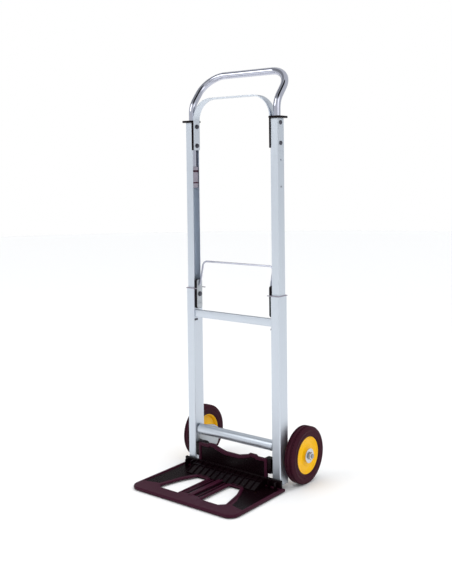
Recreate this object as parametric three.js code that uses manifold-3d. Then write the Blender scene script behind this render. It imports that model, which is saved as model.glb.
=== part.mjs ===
// Folding hand truck: a two-stage telescopic frame on two wheels, with a hinged toe plate.
// Millimetres, +Z up, -Y towards the load, +X to the right of someone who faces the truck's back.
// While it is modelled, y = 0 is the front face of the uprights; the whole group is then moved
// along Y so that the origin lies under the middle of the truck.
import * as THREE from "three";
import { mergeVertices } from "three/addons/utils/BufferGeometryUtils.js";
import Module from "manifold-3d";

const wasm = await Module();
wasm.setup();

// Fits
const faceGap = 0.3;
const holeGap = 0.3;
const slideGap = 0.4;

// How far each cutting tool stands past the face that it cuts
const overcut = 1;

// Lower frame
const frameWidth = 310;
const frameBottom = 12;
const frameTop = 500;
const uprightWidth = 26;
const uprightDepth = 37.5;
const uprightWall = 1.6;
const uprightCorner = 3;
const upperBarHeight = 20;
const upperBarDepth = 12;
const upperBarDrop = 58.5;
const upperBarFront = 4;
const lowerBarRadius = 13.8;
const lowerBarHeight = 107;
const lowerBarY = 17;
const barWall = 1.8;

// Cap that guides the middle stage at the top of each upright
const capThickness = 2;
const capLip = 1;
const capHorn = 10;
const capHornFront = 3.5;
const capHornRear = 2.5;
const capSleeve = 30;
const capSleeveInset = 2;

// Middle stage
const midRise = 456;
const midOverlap = 70;
const midDepth = 28;
const midWall = 1.5;
const shoeInner = 30;
const shoeFoot = 12;
const shoeStandoff = 2.7;
const markHoleRadius = 2.5;
const upperMarkDrop = 106;
const lowerMarkDrop = 174.5;

// Handle tube
const tubeRadius = 9.5;
const tubeWall = 1.2;
const tubeInsert = 120;
const handleBendRise = 45.5;
const handleBendRadius = 57;
const handleTilt = THREE.MathUtils.degToRad(38.9);
const handleReach = 109;
const handleCorner = 62.5;
const plugLength = 58;

// Arch strip and the collars between it and the handle tube
const stripThickness = 3;
const stripWidth = 25.5;
const stripLeg = 75;
const archRise = 64;
const archCorner = 59;
const collarLeg = 2.5;
const collarThickness = 5.7;
const collarLip = 6;
const collarOverhang = 2;
const clampDrops = [11, 63];
const clampRadius = 3;
const clampHeadRadius = 5.5;
const clampCrownRadius = 3.4;
const clampCrownHeight = 1.4;
const clampHeadHeight = 3.2;
const clampNutHeight = 4;
const clampNutAcross = 10;
const clampTail = 0.6;

// Release bail and its levers
const leverDepth = 7;
const leverWall = 1.5;
const leverTopRise = 26;
const leverLength = 81;
const leverFront = 4;
const leverRear = 28;
const leverCorner = 6;
const leverPivotDrop = 15;
const leverStandoff = 1;
const lockPinDrop = 15;
const lockPinRadius = 2.9;
const lockPinHead = 4;
const lockPinHeadHeight = 1.5;
const lockPinTail = 1;
const lockPinTip = 0.6;
const leverBoltRadius = 3;
const leverHeadRadius = 6;
const leverHeadHeight = 3.8;
const leverHeadChamfer = 1.4;
const leverBoltTail = 1.2;
const bailRadius = 2.5;
const bailY = 14;
const bailFootRise = 9;
const bailHeight = 65;
const bailLean = THREE.MathUtils.degToRad(14.5);
const bailCorner = 12;
const bailFootCorner = 4;
const bailFootReach = 3;
const bailStandoff = 0.5;

// Axle plates, axle and wheels
const axleY = 86;
const axleRadius = 6;
const plateThickness = 2.7;
const plateFront = 6;
const plateRear = 98;
const plateBottom = 44;
const plateCornerRun = 8;
const plateCornerRise = 16;
const plateTop = 117;
const plateShoulderY = 38;
const plateShoulderZ = 113;
const plateHipY = 76;
const plateHipZ = 104;
const plateRearTop = 90;
const rivetRadius = 2.4;
const rivetHeadRadius = 3.4;
const rivetHeadHeight = 1.8;
const rivetHeadCrown = 2.2;
const rivetTailRadius = 2.9;
const rivetTailHeight = 1.6;
const rivetTailCrown = 2.3;
const rivetHeight = 90.5;
const rivetYs = [10, 27];
const tyreRadius = 75;
const tyreWidth = 30;
const tyreShoulder = 6;
const tyreShoulderDrop = 2;
const tyreShoulderRun = 2.5;
const tyreBeadInset = 3;
const tyreFlankInset = 1;
const tyreWallInset = 0.4;
const wheelGap = 2;
const rimRadius = 50;
const rimLip = 4;
const hubRadius = 16;
const rimInset = 3;
const rimDishInner = 3;
const rimDishOuter = 5;
const rimDishRise = 2;
const rimFlangeRun = 4;
const rimDishStep = 1;
const hubTaper = 2;
const bushWall = 3;
const spacerWall = 3.5;
const washerRadius = 19;
const washerThickness = 2;
const nutHeight = 7;
const nutAcross = 18;
const axleTail = 3;
const axleChamfer = 1;

// Toe plate
const toeWidth = 340;
const toeDepth = 221;
const toeThickness = 10;
const toeCorner = 28;
const toeRim = 32;
const toePocketDepth = 4;
const toeSpine = 74;
const toeHingeY = 19;
const toeHingeZ = 54;
const toeOpeningRear = 60;
const toeOpeningFront = 40;
const toeOpeningFrontEdge = 62;
const toeOpeningRearEdge = 98;
const toeOpeningCut = 13;
const toeOpeningBevel = 5;
const toePanelFront = 54;
const toePanelRear = 62;
const toePanelReach = 50;
const toePanelCorner = 14;
const heelHeight = 76;
const heelDip = 68;
const heelLug = 80;
const heelThickness = 10;
const heelFront = -6;
const heelEdge = 11;
const heelLugOuter = 36;
const heelLugInner = 56;
const heelLugSlope = 5;
const heelDipEdge = 92;
const earWidth = 21;
const earBottom = 37;
const earFront = -2;
const earRear = 33;
const lipHeight = 29;
const lipFront = -8;
const lipGap = 0.6;
const lipInset = 8;
const rampFront = 58;
const rampKnee = 26;
const rampKneeDrop = 5;
const hingePinRadius = 5;
const hingePinHead = 8;
const hingePinHeadHeight = 3;
const hingePinChamfer = 1;
const hingePinTail = 2.4;

// Places that follow from the sizes above
const half = frameWidth / 2;
const inner = half - uprightWidth;
const wallInside = inner + uprightWall;
const uprightMiddle = uprightDepth / 2;
const midOuter = half - uprightWall - slideGap;
const midInner = wallInside + slideGap;
const midWeb = midOuter - midWall;
const shoeInnerFace = wallInside + shoeStandoff;
const midTop = frameTop + midRise;
const midBottom = frameTop - midOverlap;
const midFront = uprightMiddle - midDepth / 2;
const midRear = uprightMiddle + midDepth / 2;
const tubeX = midWeb - faceGap - tubeRadius;
const collarOuter = tubeX - tubeRadius - faceGap;
const collarInner = collarOuter - collarLeg;
const stripOuter = collarInner - faceGap;
const stripInner = stripOuter - stripThickness;
const stripBottom = midTop - stripLeg;
const leverOuter = inner - leverStandoff;
const leverInner = leverOuter - leverDepth;
const leverPivotY = (leverFront + leverRear) / 2;
const leverPivotZ = frameTop - leverPivotDrop;
const leverTop = frameTop + leverTopRise;
const bailX = leverInner - bailStandoff - bailRadius;
const plateInner = inner - faceGap - plateThickness;
const wheelInner = half + wheelGap;
const wheelOuter = wheelInner + tyreWidth;
const wheelMiddle = (wheelInner + wheelOuter) / 2;
const toeHalf = toeWidth / 2;
const earOuter = plateInner - faceGap;
const heelHalf = earOuter - heelEdge;

const finishes = {
  aluminium: { color: "#c6cfd8", roughness: 0.42, metalness: 0.85 },
  chrome: { color: "#d9dbde", roughness: 0.12, metalness: 1 },
  zinc: { color: "#b9bcbb", roughness: 0.4, metalness: 0.9 },
  steel: { color: "#a9adb0", roughness: 0.35, metalness: 0.9 },
  grey: { color: "#68656c", roughness: 0.5, metalness: 0 },
  black: { color: "#17151a", roughness: 0.38, metalness: 0 },
  rubber: { color: "#241d21", roughness: 0.75, metalness: 0 },
  yellow: { color: "#e9b11d", roughness: 0.4, metalness: 0 },
  nylon: { color: "#d8d4c8", roughness: 0.5, metalness: 0 },
};

const truck = new THREE.Group();

function add(name, geometry, finish) {
  const mesh = new THREE.Mesh(geometry, new THREE.MeshStandardMaterial(finishes[finish]));
  mesh.name = name;
  truck.add(mesh);
  return mesh;
}

// Vertices closer than this are one vertex.
const weld = 1e-4;

function bareCopy(geometry) {
  const copy = geometry.clone();
  copy.deleteAttribute("normal");
  copy.deleteAttribute("uv");
  return copy;
}

// Turns a closed geometry into a solid that can be cut and joined.
function solid(geometry) {
  const merged = mergeVertices(bareCopy(geometry), weld);
  const vertProperties = new Float32Array(merged.attributes.position.array);
  const triVerts = new Uint32Array(merged.index.array);
  return new wasm.Manifold(new wasm.Mesh({ numProp: 3, vertProperties, triVerts }));
}

function geometryOf(body) {
  const mesh = body.getMesh();
  const geometry = new THREE.BufferGeometry();
  const places = new Float32Array(mesh.vertProperties);
  const corners = new Uint32Array(mesh.triVerts);
  geometry.setAttribute("position", new THREE.BufferAttribute(places, 3));
  geometry.setIndex(new THREE.BufferAttribute(corners, 1));
  return geometry;
}

function cut(geometry, tools) {
  let body = solid(geometry);
  for (const tool of tools) {
    body = body.subtract(solid(tool));
  }
  return geometryOf(body);
}

function join(pieces) {
  let body = solid(pieces[0]);
  for (const piece of pieces.slice(1)) {
    body = body.add(solid(piece));
  }
  return geometryOf(body);
}

// The same shape on the other side of the plane x = 0, with its faces still pointing out.
function mirrored(geometry) {
  const copy = mergeVertices(bareCopy(geometry), weld);
  copy.scale(-1, 1, 1);
  const index = copy.index.array;
  for (let i = 0; i < index.length; i += 3) {
    const kept = index[i];
    index[i] = index[i + 1];
    index[i + 1] = kept;
  }
  return copy;
}

function addPair(name, geometry, finish) {
  add(`${name}_right`, geometry, finish);
  add(`${name}_left`, mirrored(geometry), finish);
}

function shapeOf(points) {
  return new THREE.Shape(points.map(([u, v]) => new THREE.Vector2(u, v)));
}

const plain = { bevelEnabled: false, steps: 1 };

// An outline in X and Y, raised from z0 to z1.
function extrudeZ(shape, z0, z1, curveSegments = 6) {
  const geometry = new THREE.ExtrudeGeometry(shape, { ...plain, depth: z1 - z0, curveSegments });
  return geometry.translate(0, 0, z0);
}

// An outline in Y and Z, swept from x0 to x1.
function extrudeX(shape, x0, x1, curveSegments = 6) {
  const geometry = new THREE.ExtrudeGeometry(shape, { ...plain, depth: x1 - x0, curveSegments });
  const turn = new THREE.Matrix4().makeBasis(
    new THREE.Vector3(0, 1, 0),
    new THREE.Vector3(0, 0, 1),
    new THREE.Vector3(1, 0, 0),
  );
  return geometry.applyMatrix4(turn).translate(x0, 0, 0);
}

// An outline in X and Z, swept from y0 to y1.
function extrudeY(shape, y0, y1, curveSegments = 6) {
  const geometry = new THREE.ExtrudeGeometry(shape, { ...plain, depth: y1 - y0, curveSegments });
  return geometry.rotateX(Math.PI / 2).translate(0, y1, 0);
}

function block(x0, x1, y0, y1, z0, z1) {
  const geometry = new THREE.BoxGeometry(x1 - x0, y1 - y0, z1 - z0);
  return geometry.translate((x0 + x1) / 2, (y0 + y1) / 2, (z0 + z1) / 2);
}

// A cylinder along X, from x0 to x1.
function rod(x0, x1, y, z, radius, sides = 16) {
  const geometry = new THREE.CylinderGeometry(radius, radius, x1 - x0, sides);
  return geometry.rotateZ(Math.PI / 2).translate((x0 + x1) / 2, y, z);
}

// A profile of [radius, x] points turned round the X axis, at the height and depth given.
function turned(points, y, z, sides) {
  const profile = points.map(([r, x]) => new THREE.Vector2(r, x));
  const geometry = new THREE.LatheGeometry(profile, sides);
  const turn = new THREE.Matrix4().makeBasis(
    new THREE.Vector3(0, 0, 1),
    new THREE.Vector3(1, 0, 0),
    new THREE.Vector3(0, 1, 0),
  );
  return geometry.applyMatrix4(turn).translate(0, y, z);
}

function roundedRectangle(u0, u1, v0, v1, r, kind = THREE.Shape) {
  const shape = new kind();
  shape.moveTo(u0 + r, v0);
  shape.lineTo(u1 - r, v0);
  shape.absarc(u1 - r, v0 + r, r, -Math.PI / 2, 0);
  shape.lineTo(u1, v1 - r);
  shape.absarc(u1 - r, v1 - r, r, 0, Math.PI / 2);
  shape.lineTo(u0 + r, v1);
  shape.absarc(u0 + r, v1 - r, r, Math.PI / 2, Math.PI);
  shape.lineTo(u0, v0 + r);
  shape.absarc(u0 + r, v0 + r, r, Math.PI, 1.5 * Math.PI);
  return shape;
}

// A bar bent at the corners of a polyline: straight runs take one step, each bend takes bendSteps.
class BentBar extends THREE.Curve {
  constructor(corners, radii, bendSteps) {
    super();
    this.stations = [];
    const last = corners.length - 1;
    const into = (i) => corners[i].clone().sub(corners[i - 1]).normalize();
    this.stations.push({ point: corners[0].clone(), tangent: into(1) });
    for (let i = 1; i < last; i += 1) {
      this.addBend(corners[i], into(i), into(i + 1), radii[i - 1], bendSteps);
    }
    this.stations.push({ point: corners[last].clone(), tangent: into(last) });
  }

  addBend(corner, before, after, radius, bendSteps) {
    const angle = before.angleTo(after);
    const reach = radius * Math.tan(angle / 2);
    const start = corner.clone().addScaledVector(before, -reach);
    const axis = before.clone().cross(after).normalize();
    const inward = axis.clone().cross(before);
    const centre = start.clone().addScaledVector(inward, radius);
    for (let step = 0; step <= bendSteps; step += 1) {
      const turn = (angle * step) / bendSteps;
      const spoke = inward.clone().multiplyScalar(-radius).applyAxisAngle(axis, turn);
      const tangent = before.clone().applyAxisAngle(axis, turn);
      this.stations.push({ point: centre.clone().add(spoke), tangent });
    }
  }

  get steps() {
    return this.stations.length - 1;
  }

  getUtoTmapping(u) {
    return u;
  }

  getPoint(t, target = new THREE.Vector3()) {
    const place = t * this.steps;
    const from = Math.min(Math.floor(place + 1e-9), this.steps - 1);
    const part = place - from;
    return target.copy(this.stations[from].point).lerp(this.stations[from + 1].point, part);
  }

  getTangent(t, target = new THREE.Vector3()) {
    const nearest = Math.round(t * this.steps);
    return target.copy(this.stations[nearest].tangent);
  }
}

// A round section swept along a bent bar, hollow and open-ended where a bore is given.
function bentTube(path, radius, bore, sides) {
  const section = new THREE.Shape();
  section.absarc(0, 0, radius, 0, 2 * Math.PI);
  if (bore > 0) {
    const hole = new THREE.Path();
    hole.absarc(0, 0, bore, 0, 2 * Math.PI, true);
    section.holes.push(hole);
  }
  const options = { bevelEnabled: false, steps: path.steps, extrudePath: path, curveSegments: sides };
  return new THREE.ExtrudeGeometry(section, options);
}

function buildUprights() {
  const outline = roundedRectangle(inner, half, 0, uprightDepth, uprightCorner);
  const wall = uprightWall;
  const corner = uprightCorner - wall / 2;
  const rear = uprightDepth - wall;
  const hollow = roundedRectangle(wallInside, half - wall, wall, rear, corner, THREE.Path);
  outline.holes.push(hollow);
  const tube = extrudeZ(outline, frameBottom, frameTop, 3);
  const throughWall = (y, z, radius) => (
    rod(inner - overcut, wallInside + overcut, y, z, radius + holeGap)
  );
  const holes = [
    throughWall(toeHingeY, toeHingeZ, hingePinRadius),
    throughWall(leverPivotY, leverPivotZ, leverBoltRadius),
    throughWall(leverPivotY, leverPivotZ - lockPinDrop, lockPinRadius),
    ...rivetYs.map((y) => throughWall(y, rivetHeight, rivetRadius)),
  ];
  addPair("upright", cut(tube, holes), "aluminium");
}

function buildCrossbars() {
  const bottom = frameTop - upperBarDrop - upperBarHeight;
  const top = bottom + upperBarHeight;
  const front = upperBarFront;
  const rear = front + upperBarDepth;
  const end = inner - faceGap;
  const outline = shapeOf([[front, bottom], [rear, bottom], [rear, top], [front, top]]);
  const wall = barWall;
  outline.holes.push(shapeOf([
    [front + wall, bottom + wall],
    [front + wall, top - wall],
    [rear - wall, top - wall],
    [rear - wall, bottom + wall],
  ]));
  add("upper_crossbar", extrudeX(outline, -end, end), "aluminium");

  const ring = new THREE.Shape();
  ring.absarc(lowerBarY, lowerBarHeight, lowerBarRadius, 0, 2 * Math.PI);
  const bore = new THREE.Path();
  bore.absarc(lowerBarY, lowerBarHeight, lowerBarRadius - barWall, 0, 2 * Math.PI, true);
  ring.holes.push(bore);
  const lowerEnd = plateInner - faceGap;
  add("lower_crossbar", extrudeX(ring, -lowerEnd, lowerEnd, 12), "aluminium");
}

function buildTopCaps() {
  const bottom = frameTop + faceGap;
  const top = bottom + capThickness;
  const front = -capLip;
  const rear = uprightDepth + capLip;
  const plate = block(inner - capHorn, half + capLip, front, rear, bottom, top);
  const sleeveEnd = frameTop - capSleeve;
  const sleeveInner = midInner + capSleeveInset;
  const sleeveOuter = midOuter - capSleeveInset;
  const sleeve = (y0, y1) => block(sleeveInner, sleeveOuter, y0, y1, sleeveEnd, (bottom + top) / 2);
  const joined = join([
    plate,
    sleeve(uprightWall + faceGap, midFront - faceGap),
    sleeve(midRear + faceGap, uprightDepth - uprightWall - faceGap),
  ]);
  const channelHole = block(
    midInner - slideGap,
    midOuter + slideGap,
    midFront - faceGap,
    midRear + faceGap,
    sleeveEnd - overcut,
    top + overcut,
  );
  const leverSlot = block(
    inner - capHorn - overcut,
    leverOuter + leverStandoff / 2,
    front + capHornFront,
    rear - capHornRear,
    bottom - overcut,
    top + overcut,
  );
  addPair("top_cap", cut(joined, [channelHole, leverSlot]), "grey");
}

function buildMidChannels() {
  const section = shapeOf([
    [midInner, midFront],
    [midOuter, midFront],
    [midOuter, midRear],
    [midInner, midRear],
    [midInner, midRear - midWall],
    [midWeb, midRear - midWall],
    [midWeb, midFront + midWall],
    [midInner, midFront + midWall],
  ]);
  const channel = extrudeZ(section, midBottom, midTop);
  const throughWeb = (drop, radius) => (
    rod(midWeb - overcut, midOuter + overcut, uprightMiddle, midTop - drop, radius)
  );
  const holes = [
    ...clampDrops.map((drop) => throughWeb(drop, clampRadius + holeGap)),
    throughWeb(upperMarkDrop, markHoleRadius),
    throughWeb(lowerMarkDrop, markHoleRadius),
  ];
  addPair("mid_channel", cut(channel, holes), "aluminium");
}

// The shoes stop short of the inner wall, so that they pass the rivets and pins that end there.
function buildSliderShoes() {
  const insideTop = midBottom + shoeInner;
  const footTop = midBottom - faceGap;
  const guide = uprightWall + slideGap;
  const front = midFront + midWall + faceGap;
  const rear = midRear - midWall - faceGap;
  const overlap = shoeFoot / 2;
  const core = block(shoeInnerFace, midWeb - faceGap, front, rear, footTop - overlap, insideTop);
  const footRear = uprightDepth - guide;
  const footOutline = roundedRectangle(shoeInnerFace, midOuter, guide, footRear, uprightCorner);
  const foot = extrudeZ(footOutline, footTop - shoeFoot, footTop, 3);
  addPair("slider_shoe", join([core, foot]), "black");
}

function handlePath() {
  const y = uprightMiddle;
  const bendZ = midTop + handleBendRise;
  const topY = y + handleReach * Math.sin(handleTilt);
  const topZ = bendZ + handleReach * Math.cos(handleTilt);
  const corners = [
    new THREE.Vector3(-tubeX, y, midTop - tubeInsert),
    new THREE.Vector3(-tubeX, y, bendZ),
    new THREE.Vector3(-tubeX, topY, topZ),
    new THREE.Vector3(tubeX, topY, topZ),
    new THREE.Vector3(tubeX, y, bendZ),
    new THREE.Vector3(tubeX, y, midTop - tubeInsert),
  ];
  return new BentBar(corners, [handleBendRadius, handleCorner, handleCorner, handleBendRadius], 6);
}

function buildHandle() {
  const tube = bentTube(handlePath(), tubeRadius, tubeRadius - tubeWall, 8);
  const reach = tubeRadius + overcut;
  const across = (x, drop) => (
    rod(x - reach, x + reach, uprightMiddle, midTop - drop, clampRadius + holeGap, 12)
  );
  const holes = clampDrops.flatMap((drop) => [across(tubeX, drop), across(-tubeX, drop)]);
  add("handle_tube", cut(tube, holes), "chrome");

  const top = midTop - tubeInsert - faceGap;
  const front = midFront + midWall + faceGap;
  const rear = midRear - midWall - faceGap;
  const plugInner = tubeX - tubeRadius;
  const plug = block(plugInner, midWeb - faceGap, front, rear, top - plugLength, top);
  addPair("tube_plug", plug, "black");
}

function buildArch() {
  const top = midTop + archRise;
  const arc = archCorner;
  const outline = new THREE.Shape();
  outline.moveTo(-stripOuter, stripBottom);
  outline.lineTo(-stripInner, stripBottom);
  outline.lineTo(-stripInner, top - arc);
  outline.absarc(-stripOuter + arc, top - arc, arc - stripThickness, Math.PI, Math.PI / 2, true);
  outline.lineTo(stripOuter - arc, top - stripThickness);
  outline.absarc(stripOuter - arc, top - arc, arc - stripThickness, Math.PI / 2, 0, true);
  outline.lineTo(stripInner, stripBottom);
  outline.lineTo(stripOuter, stripBottom);
  outline.lineTo(stripOuter, top - arc);
  outline.absarc(stripOuter - arc, top - arc, arc, 0, Math.PI / 2);
  outline.lineTo(-stripOuter + arc, top);
  outline.absarc(-stripOuter + arc, top - arc, arc, Math.PI / 2, Math.PI);
  const front = uprightMiddle - stripWidth / 2;
  const strip = extrudeY(outline, front, front + stripWidth, 8);
  const inside = stripInner - overcut;
  const outside = stripOuter + overcut;
  const holes = clampDrops.flatMap((drop) => [
    rod(inside, outside, uprightMiddle, midTop - drop, clampRadius + holeGap),
    rod(-outside, -inside, uprightMiddle, midTop - drop, clampRadius + holeGap),
  ]);
  add("arch_strip", cut(strip, holes), "aluminium");
}

function buildCollars() {
  const bottom = midTop + faceGap;
  const top = bottom + collarThickness;
  const front = -collarOverhang;
  const rear = uprightDepth + collarOverhang;
  const flange = block(collarInner, half + collarLip, front, rear, bottom, top);
  const legFront = midFront + midWall + faceGap;
  const legRear = midRear - midWall - faceGap;
  const legTop = (bottom + top) / 2;
  const leg = block(collarInner, collarOuter, legFront, legRear, stripBottom, legTop);
  const holeRadius = tubeRadius + faceGap;
  const tubeHole = new THREE.CylinderGeometry(holeRadius, holeRadius, 4 * collarThickness, 24);
  tubeHole.rotateX(Math.PI / 2).translate(tubeX, uprightMiddle, bottom);
  const inside = collarInner - overcut;
  const outside = collarOuter + overcut;
  const holes = clampDrops.map((drop) => (
    rod(inside, outside, uprightMiddle, midTop - drop, clampRadius + holeGap)
  ));
  addPair("collar", cut(join([flange, leg]), [tubeHole, ...holes]), "black");
}

function hexagon(across, y, z) {
  const corner = across / Math.sqrt(3);
  const points = [];
  for (let i = 0; i < 6; i += 1) {
    const angle = (i * Math.PI) / 3;
    points.push([y + corner * Math.cos(angle), z + corner * Math.sin(angle)]);
  }
  return shapeOf(points);
}

// A hexagon nut along X with a plain bore.
function nut(x0, x1, y, z, across, bore) {
  const outline = hexagon(across, y, z);
  const hole = new THREE.Path();
  hole.absarc(y, z, bore, 0, 2 * Math.PI, true);
  outline.holes.push(hole);
  return extrudeX(outline, x0, x1, 8);
}

function buildClampBolts() {
  const names = ["upper", "lower"];
  const seat = midOuter + faceGap;
  const headOuter = seat + clampHeadHeight;
  const nutOuter = stripInner - faceGap;
  const nutInner = nutOuter - clampNutHeight;
  const shankEnd = nutInner - clampTail;
  clampDrops.forEach((drop, i) => {
    const z = midTop - drop;
    const bolt = turned([
      [0, shankEnd],
      [clampRadius, shankEnd],
      [clampRadius, seat],
      [clampHeadRadius, seat],
      [clampHeadRadius, headOuter - clampCrownHeight],
      [clampCrownRadius, headOuter],
      [0, headOuter],
    ], uprightMiddle, z, 16);
    addPair(`clamp_bolt_${names[i]}`, bolt, "zinc");
    const bore = clampRadius + holeGap;
    const piece = nut(nutInner, nutOuter, uprightMiddle, z, clampNutAcross, bore);
    addPair(`clamp_nut_${names[i]}`, piece, "zinc");
  });
}

function buildLevers() {
  const bottom = leverTop - leverLength;
  const outline = roundedRectangle(leverFront, leverRear, bottom, leverTop, leverCorner);
  const wall = leverWall;
  const front = leverFront + wall;
  const rear = leverRear - wall;
  const pocket = roundedRectangle(front, rear, bottom + wall, leverTop - wall, leverCorner - wall);
  const face = leverInner - overcut;
  const tools = [
    extrudeX(pocket, leverInner + wall, leverOuter + overcut, 4),
    rod(face, leverOuter, leverPivotY, leverPivotZ, leverBoltRadius + holeGap),
    rod(face, leverOuter, bailY, frameTop + bailFootRise, bailRadius + holeGap),
  ];
  addPair("lock_lever", cut(extrudeX(outline, leverInner, leverOuter, 4), tools), "zinc");

  const seat = leverInner - faceGap;
  const headInner = seat - leverHeadHeight;
  const boltEnd = wallInside + leverBoltTail;
  const bolt = turned([
    [0, headInner],
    [leverHeadRadius - leverHeadChamfer, headInner],
    [leverHeadRadius, headInner + leverHeadChamfer],
    [leverHeadRadius, seat],
    [leverBoltRadius, seat],
    [leverBoltRadius, boltEnd],
    [0, boltEnd],
  ], leverPivotY, leverPivotZ, 16);
  addPair("lever_bolt", bolt, "zinc");

  const headFace = leverOuter - leverStandoff;
  const headEnd = headFace - lockPinHeadHeight;
  const pinEnd = wallInside + lockPinTail;
  const pin = turned([
    [0, headEnd],
    [lockPinHead, headEnd],
    [lockPinHead, headFace],
    [lockPinRadius, headFace],
    [lockPinRadius, pinEnd - lockPinTip],
    [lockPinRadius - lockPinTip, pinEnd],
    [0, pinEnd],
  ], leverPivotY, leverPivotZ - lockPinDrop, 16);
  addPair("lock_pin", pin, "steel");
}

function buildBail() {
  const footZ = frameTop + bailFootRise;
  const topY = bailY + bailHeight * Math.tan(bailLean);
  const topZ = footZ + bailHeight;
  const footX = leverInner + bailFootReach;
  const corners = [
    new THREE.Vector3(-footX, bailY, footZ),
    new THREE.Vector3(-bailX, bailY, footZ),
    new THREE.Vector3(-bailX, topY, topZ),
    new THREE.Vector3(bailX, topY, topZ),
    new THREE.Vector3(bailX, bailY, footZ),
    new THREE.Vector3(footX, bailY, footZ),
  ];
  const radii = [bailFootCorner, bailCorner, bailCorner, bailFootCorner];
  const path = new BentBar(corners, radii, 5);
  add("bail_wire", bentTube(path, bailRadius, 0, 5), "chrome");
}

function buildAxle() {
  const outline = shapeOf([
    [plateFront, plateBottom],
    [plateRear - plateCornerRun, plateBottom],
    [plateRear, plateBottom + plateCornerRise],
    [plateRear, plateRearTop],
    [plateHipY, plateHipZ],
    [plateShoulderY, plateShoulderZ],
    [plateFront, plateTop],
  ]);
  const throughPlate = (y, z, r) => rod(plateInner - overcut, inner + overcut, y, z, r + holeGap);
  const plate = cut(extrudeX(outline, plateInner, inner - faceGap), [
    throughPlate(axleY, tyreRadius, axleRadius),
    throughPlate(toeHingeY, toeHingeZ, hingePinRadius),
    ...rivetYs.map((y) => throughPlate(y, rivetHeight, rivetRadius)),
  ]);
  addPair("axle_plate", plate, "zinc");

  const names = ["front", "rear"];
  const headFace = plateInner - faceGap;
  const headTop = headFace - rivetHeadHeight;
  const tailFace = wallInside + faceGap;
  const tailTop = tailFace + rivetTailHeight;
  rivetYs.forEach((y, i) => {
    const rivet = turned([
      [0, headTop],
      [rivetHeadCrown, headTop],
      [rivetHeadRadius, headFace],
      [rivetRadius, headFace],
      [rivetRadius, tailFace],
      [rivetTailRadius, tailFace],
      [rivetTailCrown, tailTop],
      [0, tailTop],
    ], y, rivetHeight, 12);
    addPair(`plate_rivet_${names[i]}`, rivet, "zinc");
  });

  const washerOuter = wheelOuter + faceGap + washerThickness;
  const nutOuter = washerOuter + faceGap + nutHeight;
  const end = nutOuter + axleTail;
  add("axle", turned([
    [0, -end],
    [axleRadius - axleChamfer, -end],
    [axleRadius, -end + axleChamfer],
    [axleRadius, end - axleChamfer],
    [axleRadius - axleChamfer, end],
    [0, end],
  ], axleY, tyreRadius, 20), "steel");

  const bore = axleRadius + holeGap;
  const ring = (x0, x1, outer, sides) => turned([
    [bore, x0], [outer, x0], [outer, x1], [bore, x1], [bore, x0],
  ], axleY, tyreRadius, sides);
  const spacer = ring(inner, wheelInner - faceGap, bore + spacerWall, 20);
  addPair("axle_spacer", spacer, "zinc");
  addPair("axle_washer", ring(wheelOuter + faceGap, washerOuter, washerRadius, 28), "zinc");
  const axleNut = nut(washerOuter + faceGap, nutOuter, axleY, tyreRadius, nutAcross, bore);
  addPair("axle_nut", axleNut, "zinc");
}

function buildWheels() {
  const sides = 40;
  const x = (offset) => wheelMiddle + offset;
  const edge = tyreWidth / 2;
  const bead = rimRadius + faceGap;
  const side = tyreRadius - bead;
  const flank = bead + side / 6;
  const belly = bead + side / 2.5;
  const wallTop = bead + side / 1.35;
  const shoulder = tyreRadius - tyreShoulderDrop;
  const tyreSide = [
    [bead, edge - tyreBeadInset],
    [flank, edge - tyreFlankInset],
    [belly, edge],
    [wallTop, edge - tyreWallInset],
    [shoulder, edge - tyreShoulderRun],
    [tyreRadius, edge - tyreShoulder],
  ];
  const tyre = [
    ...tyreSide.map(([r, out]) => [r, x(-out)]),
    ...tyreSide.map(([r, out]) => [r, x(out)]).reverse(),
    [bead, x(-edge + tyreBeadInset)],
  ];
  addPair("tyre", turned(tyre, axleY, tyreRadius, sides), "rubber");

  const bore = axleRadius + holeGap;
  const bushOuter = bore + bushWall;
  const hubBore = bushOuter + holeGap;
  const rimInner = rimRadius - rimLip;
  const flangeEdge = edge - rimInset;
  const rim = [
    [hubBore, x(-edge)],
    [hubRadius, x(-edge)],
    [hubRadius + hubTaper, x(-rimDishInner - rimDishStep)],
    [rimInner - rimFlangeRun, x(-rimDishInner)],
    [rimInner, x(-flangeEdge + rimDishStep)],
    [rimRadius, x(-flangeEdge)],
    [rimRadius, x(flangeEdge)],
    [rimInner, x(flangeEdge)],
    [rimInner - rimFlangeRun, x(rimDishOuter)],
    [hubRadius + 2 * hubTaper, x(rimDishOuter + rimDishRise)],
    [hubRadius, x(edge)],
    [hubBore, x(edge)],
    [hubBore, x(-edge)],
  ];
  addPair("rim", turned(rim, axleY, tyreRadius, sides), "yellow");

  const bush = turned([
    [bore, wheelInner],
    [bushOuter, wheelInner],
    [bushOuter, wheelOuter],
    [bore, wheelOuter],
    [bore, wheelInner],
  ], axleY, tyreRadius, 20);
  addPair("wheel_bush", bush, "nylon");
}

// The toe plate's outline: square at the back, rounded at the two front corners.
function toeOutline(backY) {
  const r = toeCorner;
  const shape = new THREE.Shape();
  shape.moveTo(-toeHalf, backY);
  shape.lineTo(-toeHalf, -toeDepth + r);
  shape.absarc(-toeHalf + r, -toeDepth + r, r, Math.PI, 1.5 * Math.PI);
  shape.lineTo(toeHalf - r, -toeDepth);
  shape.absarc(toeHalf - r, -toeDepth + r, r, -Math.PI / 2, 0);
  shape.lineTo(toeHalf, backY);
  return shape;
}

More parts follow.
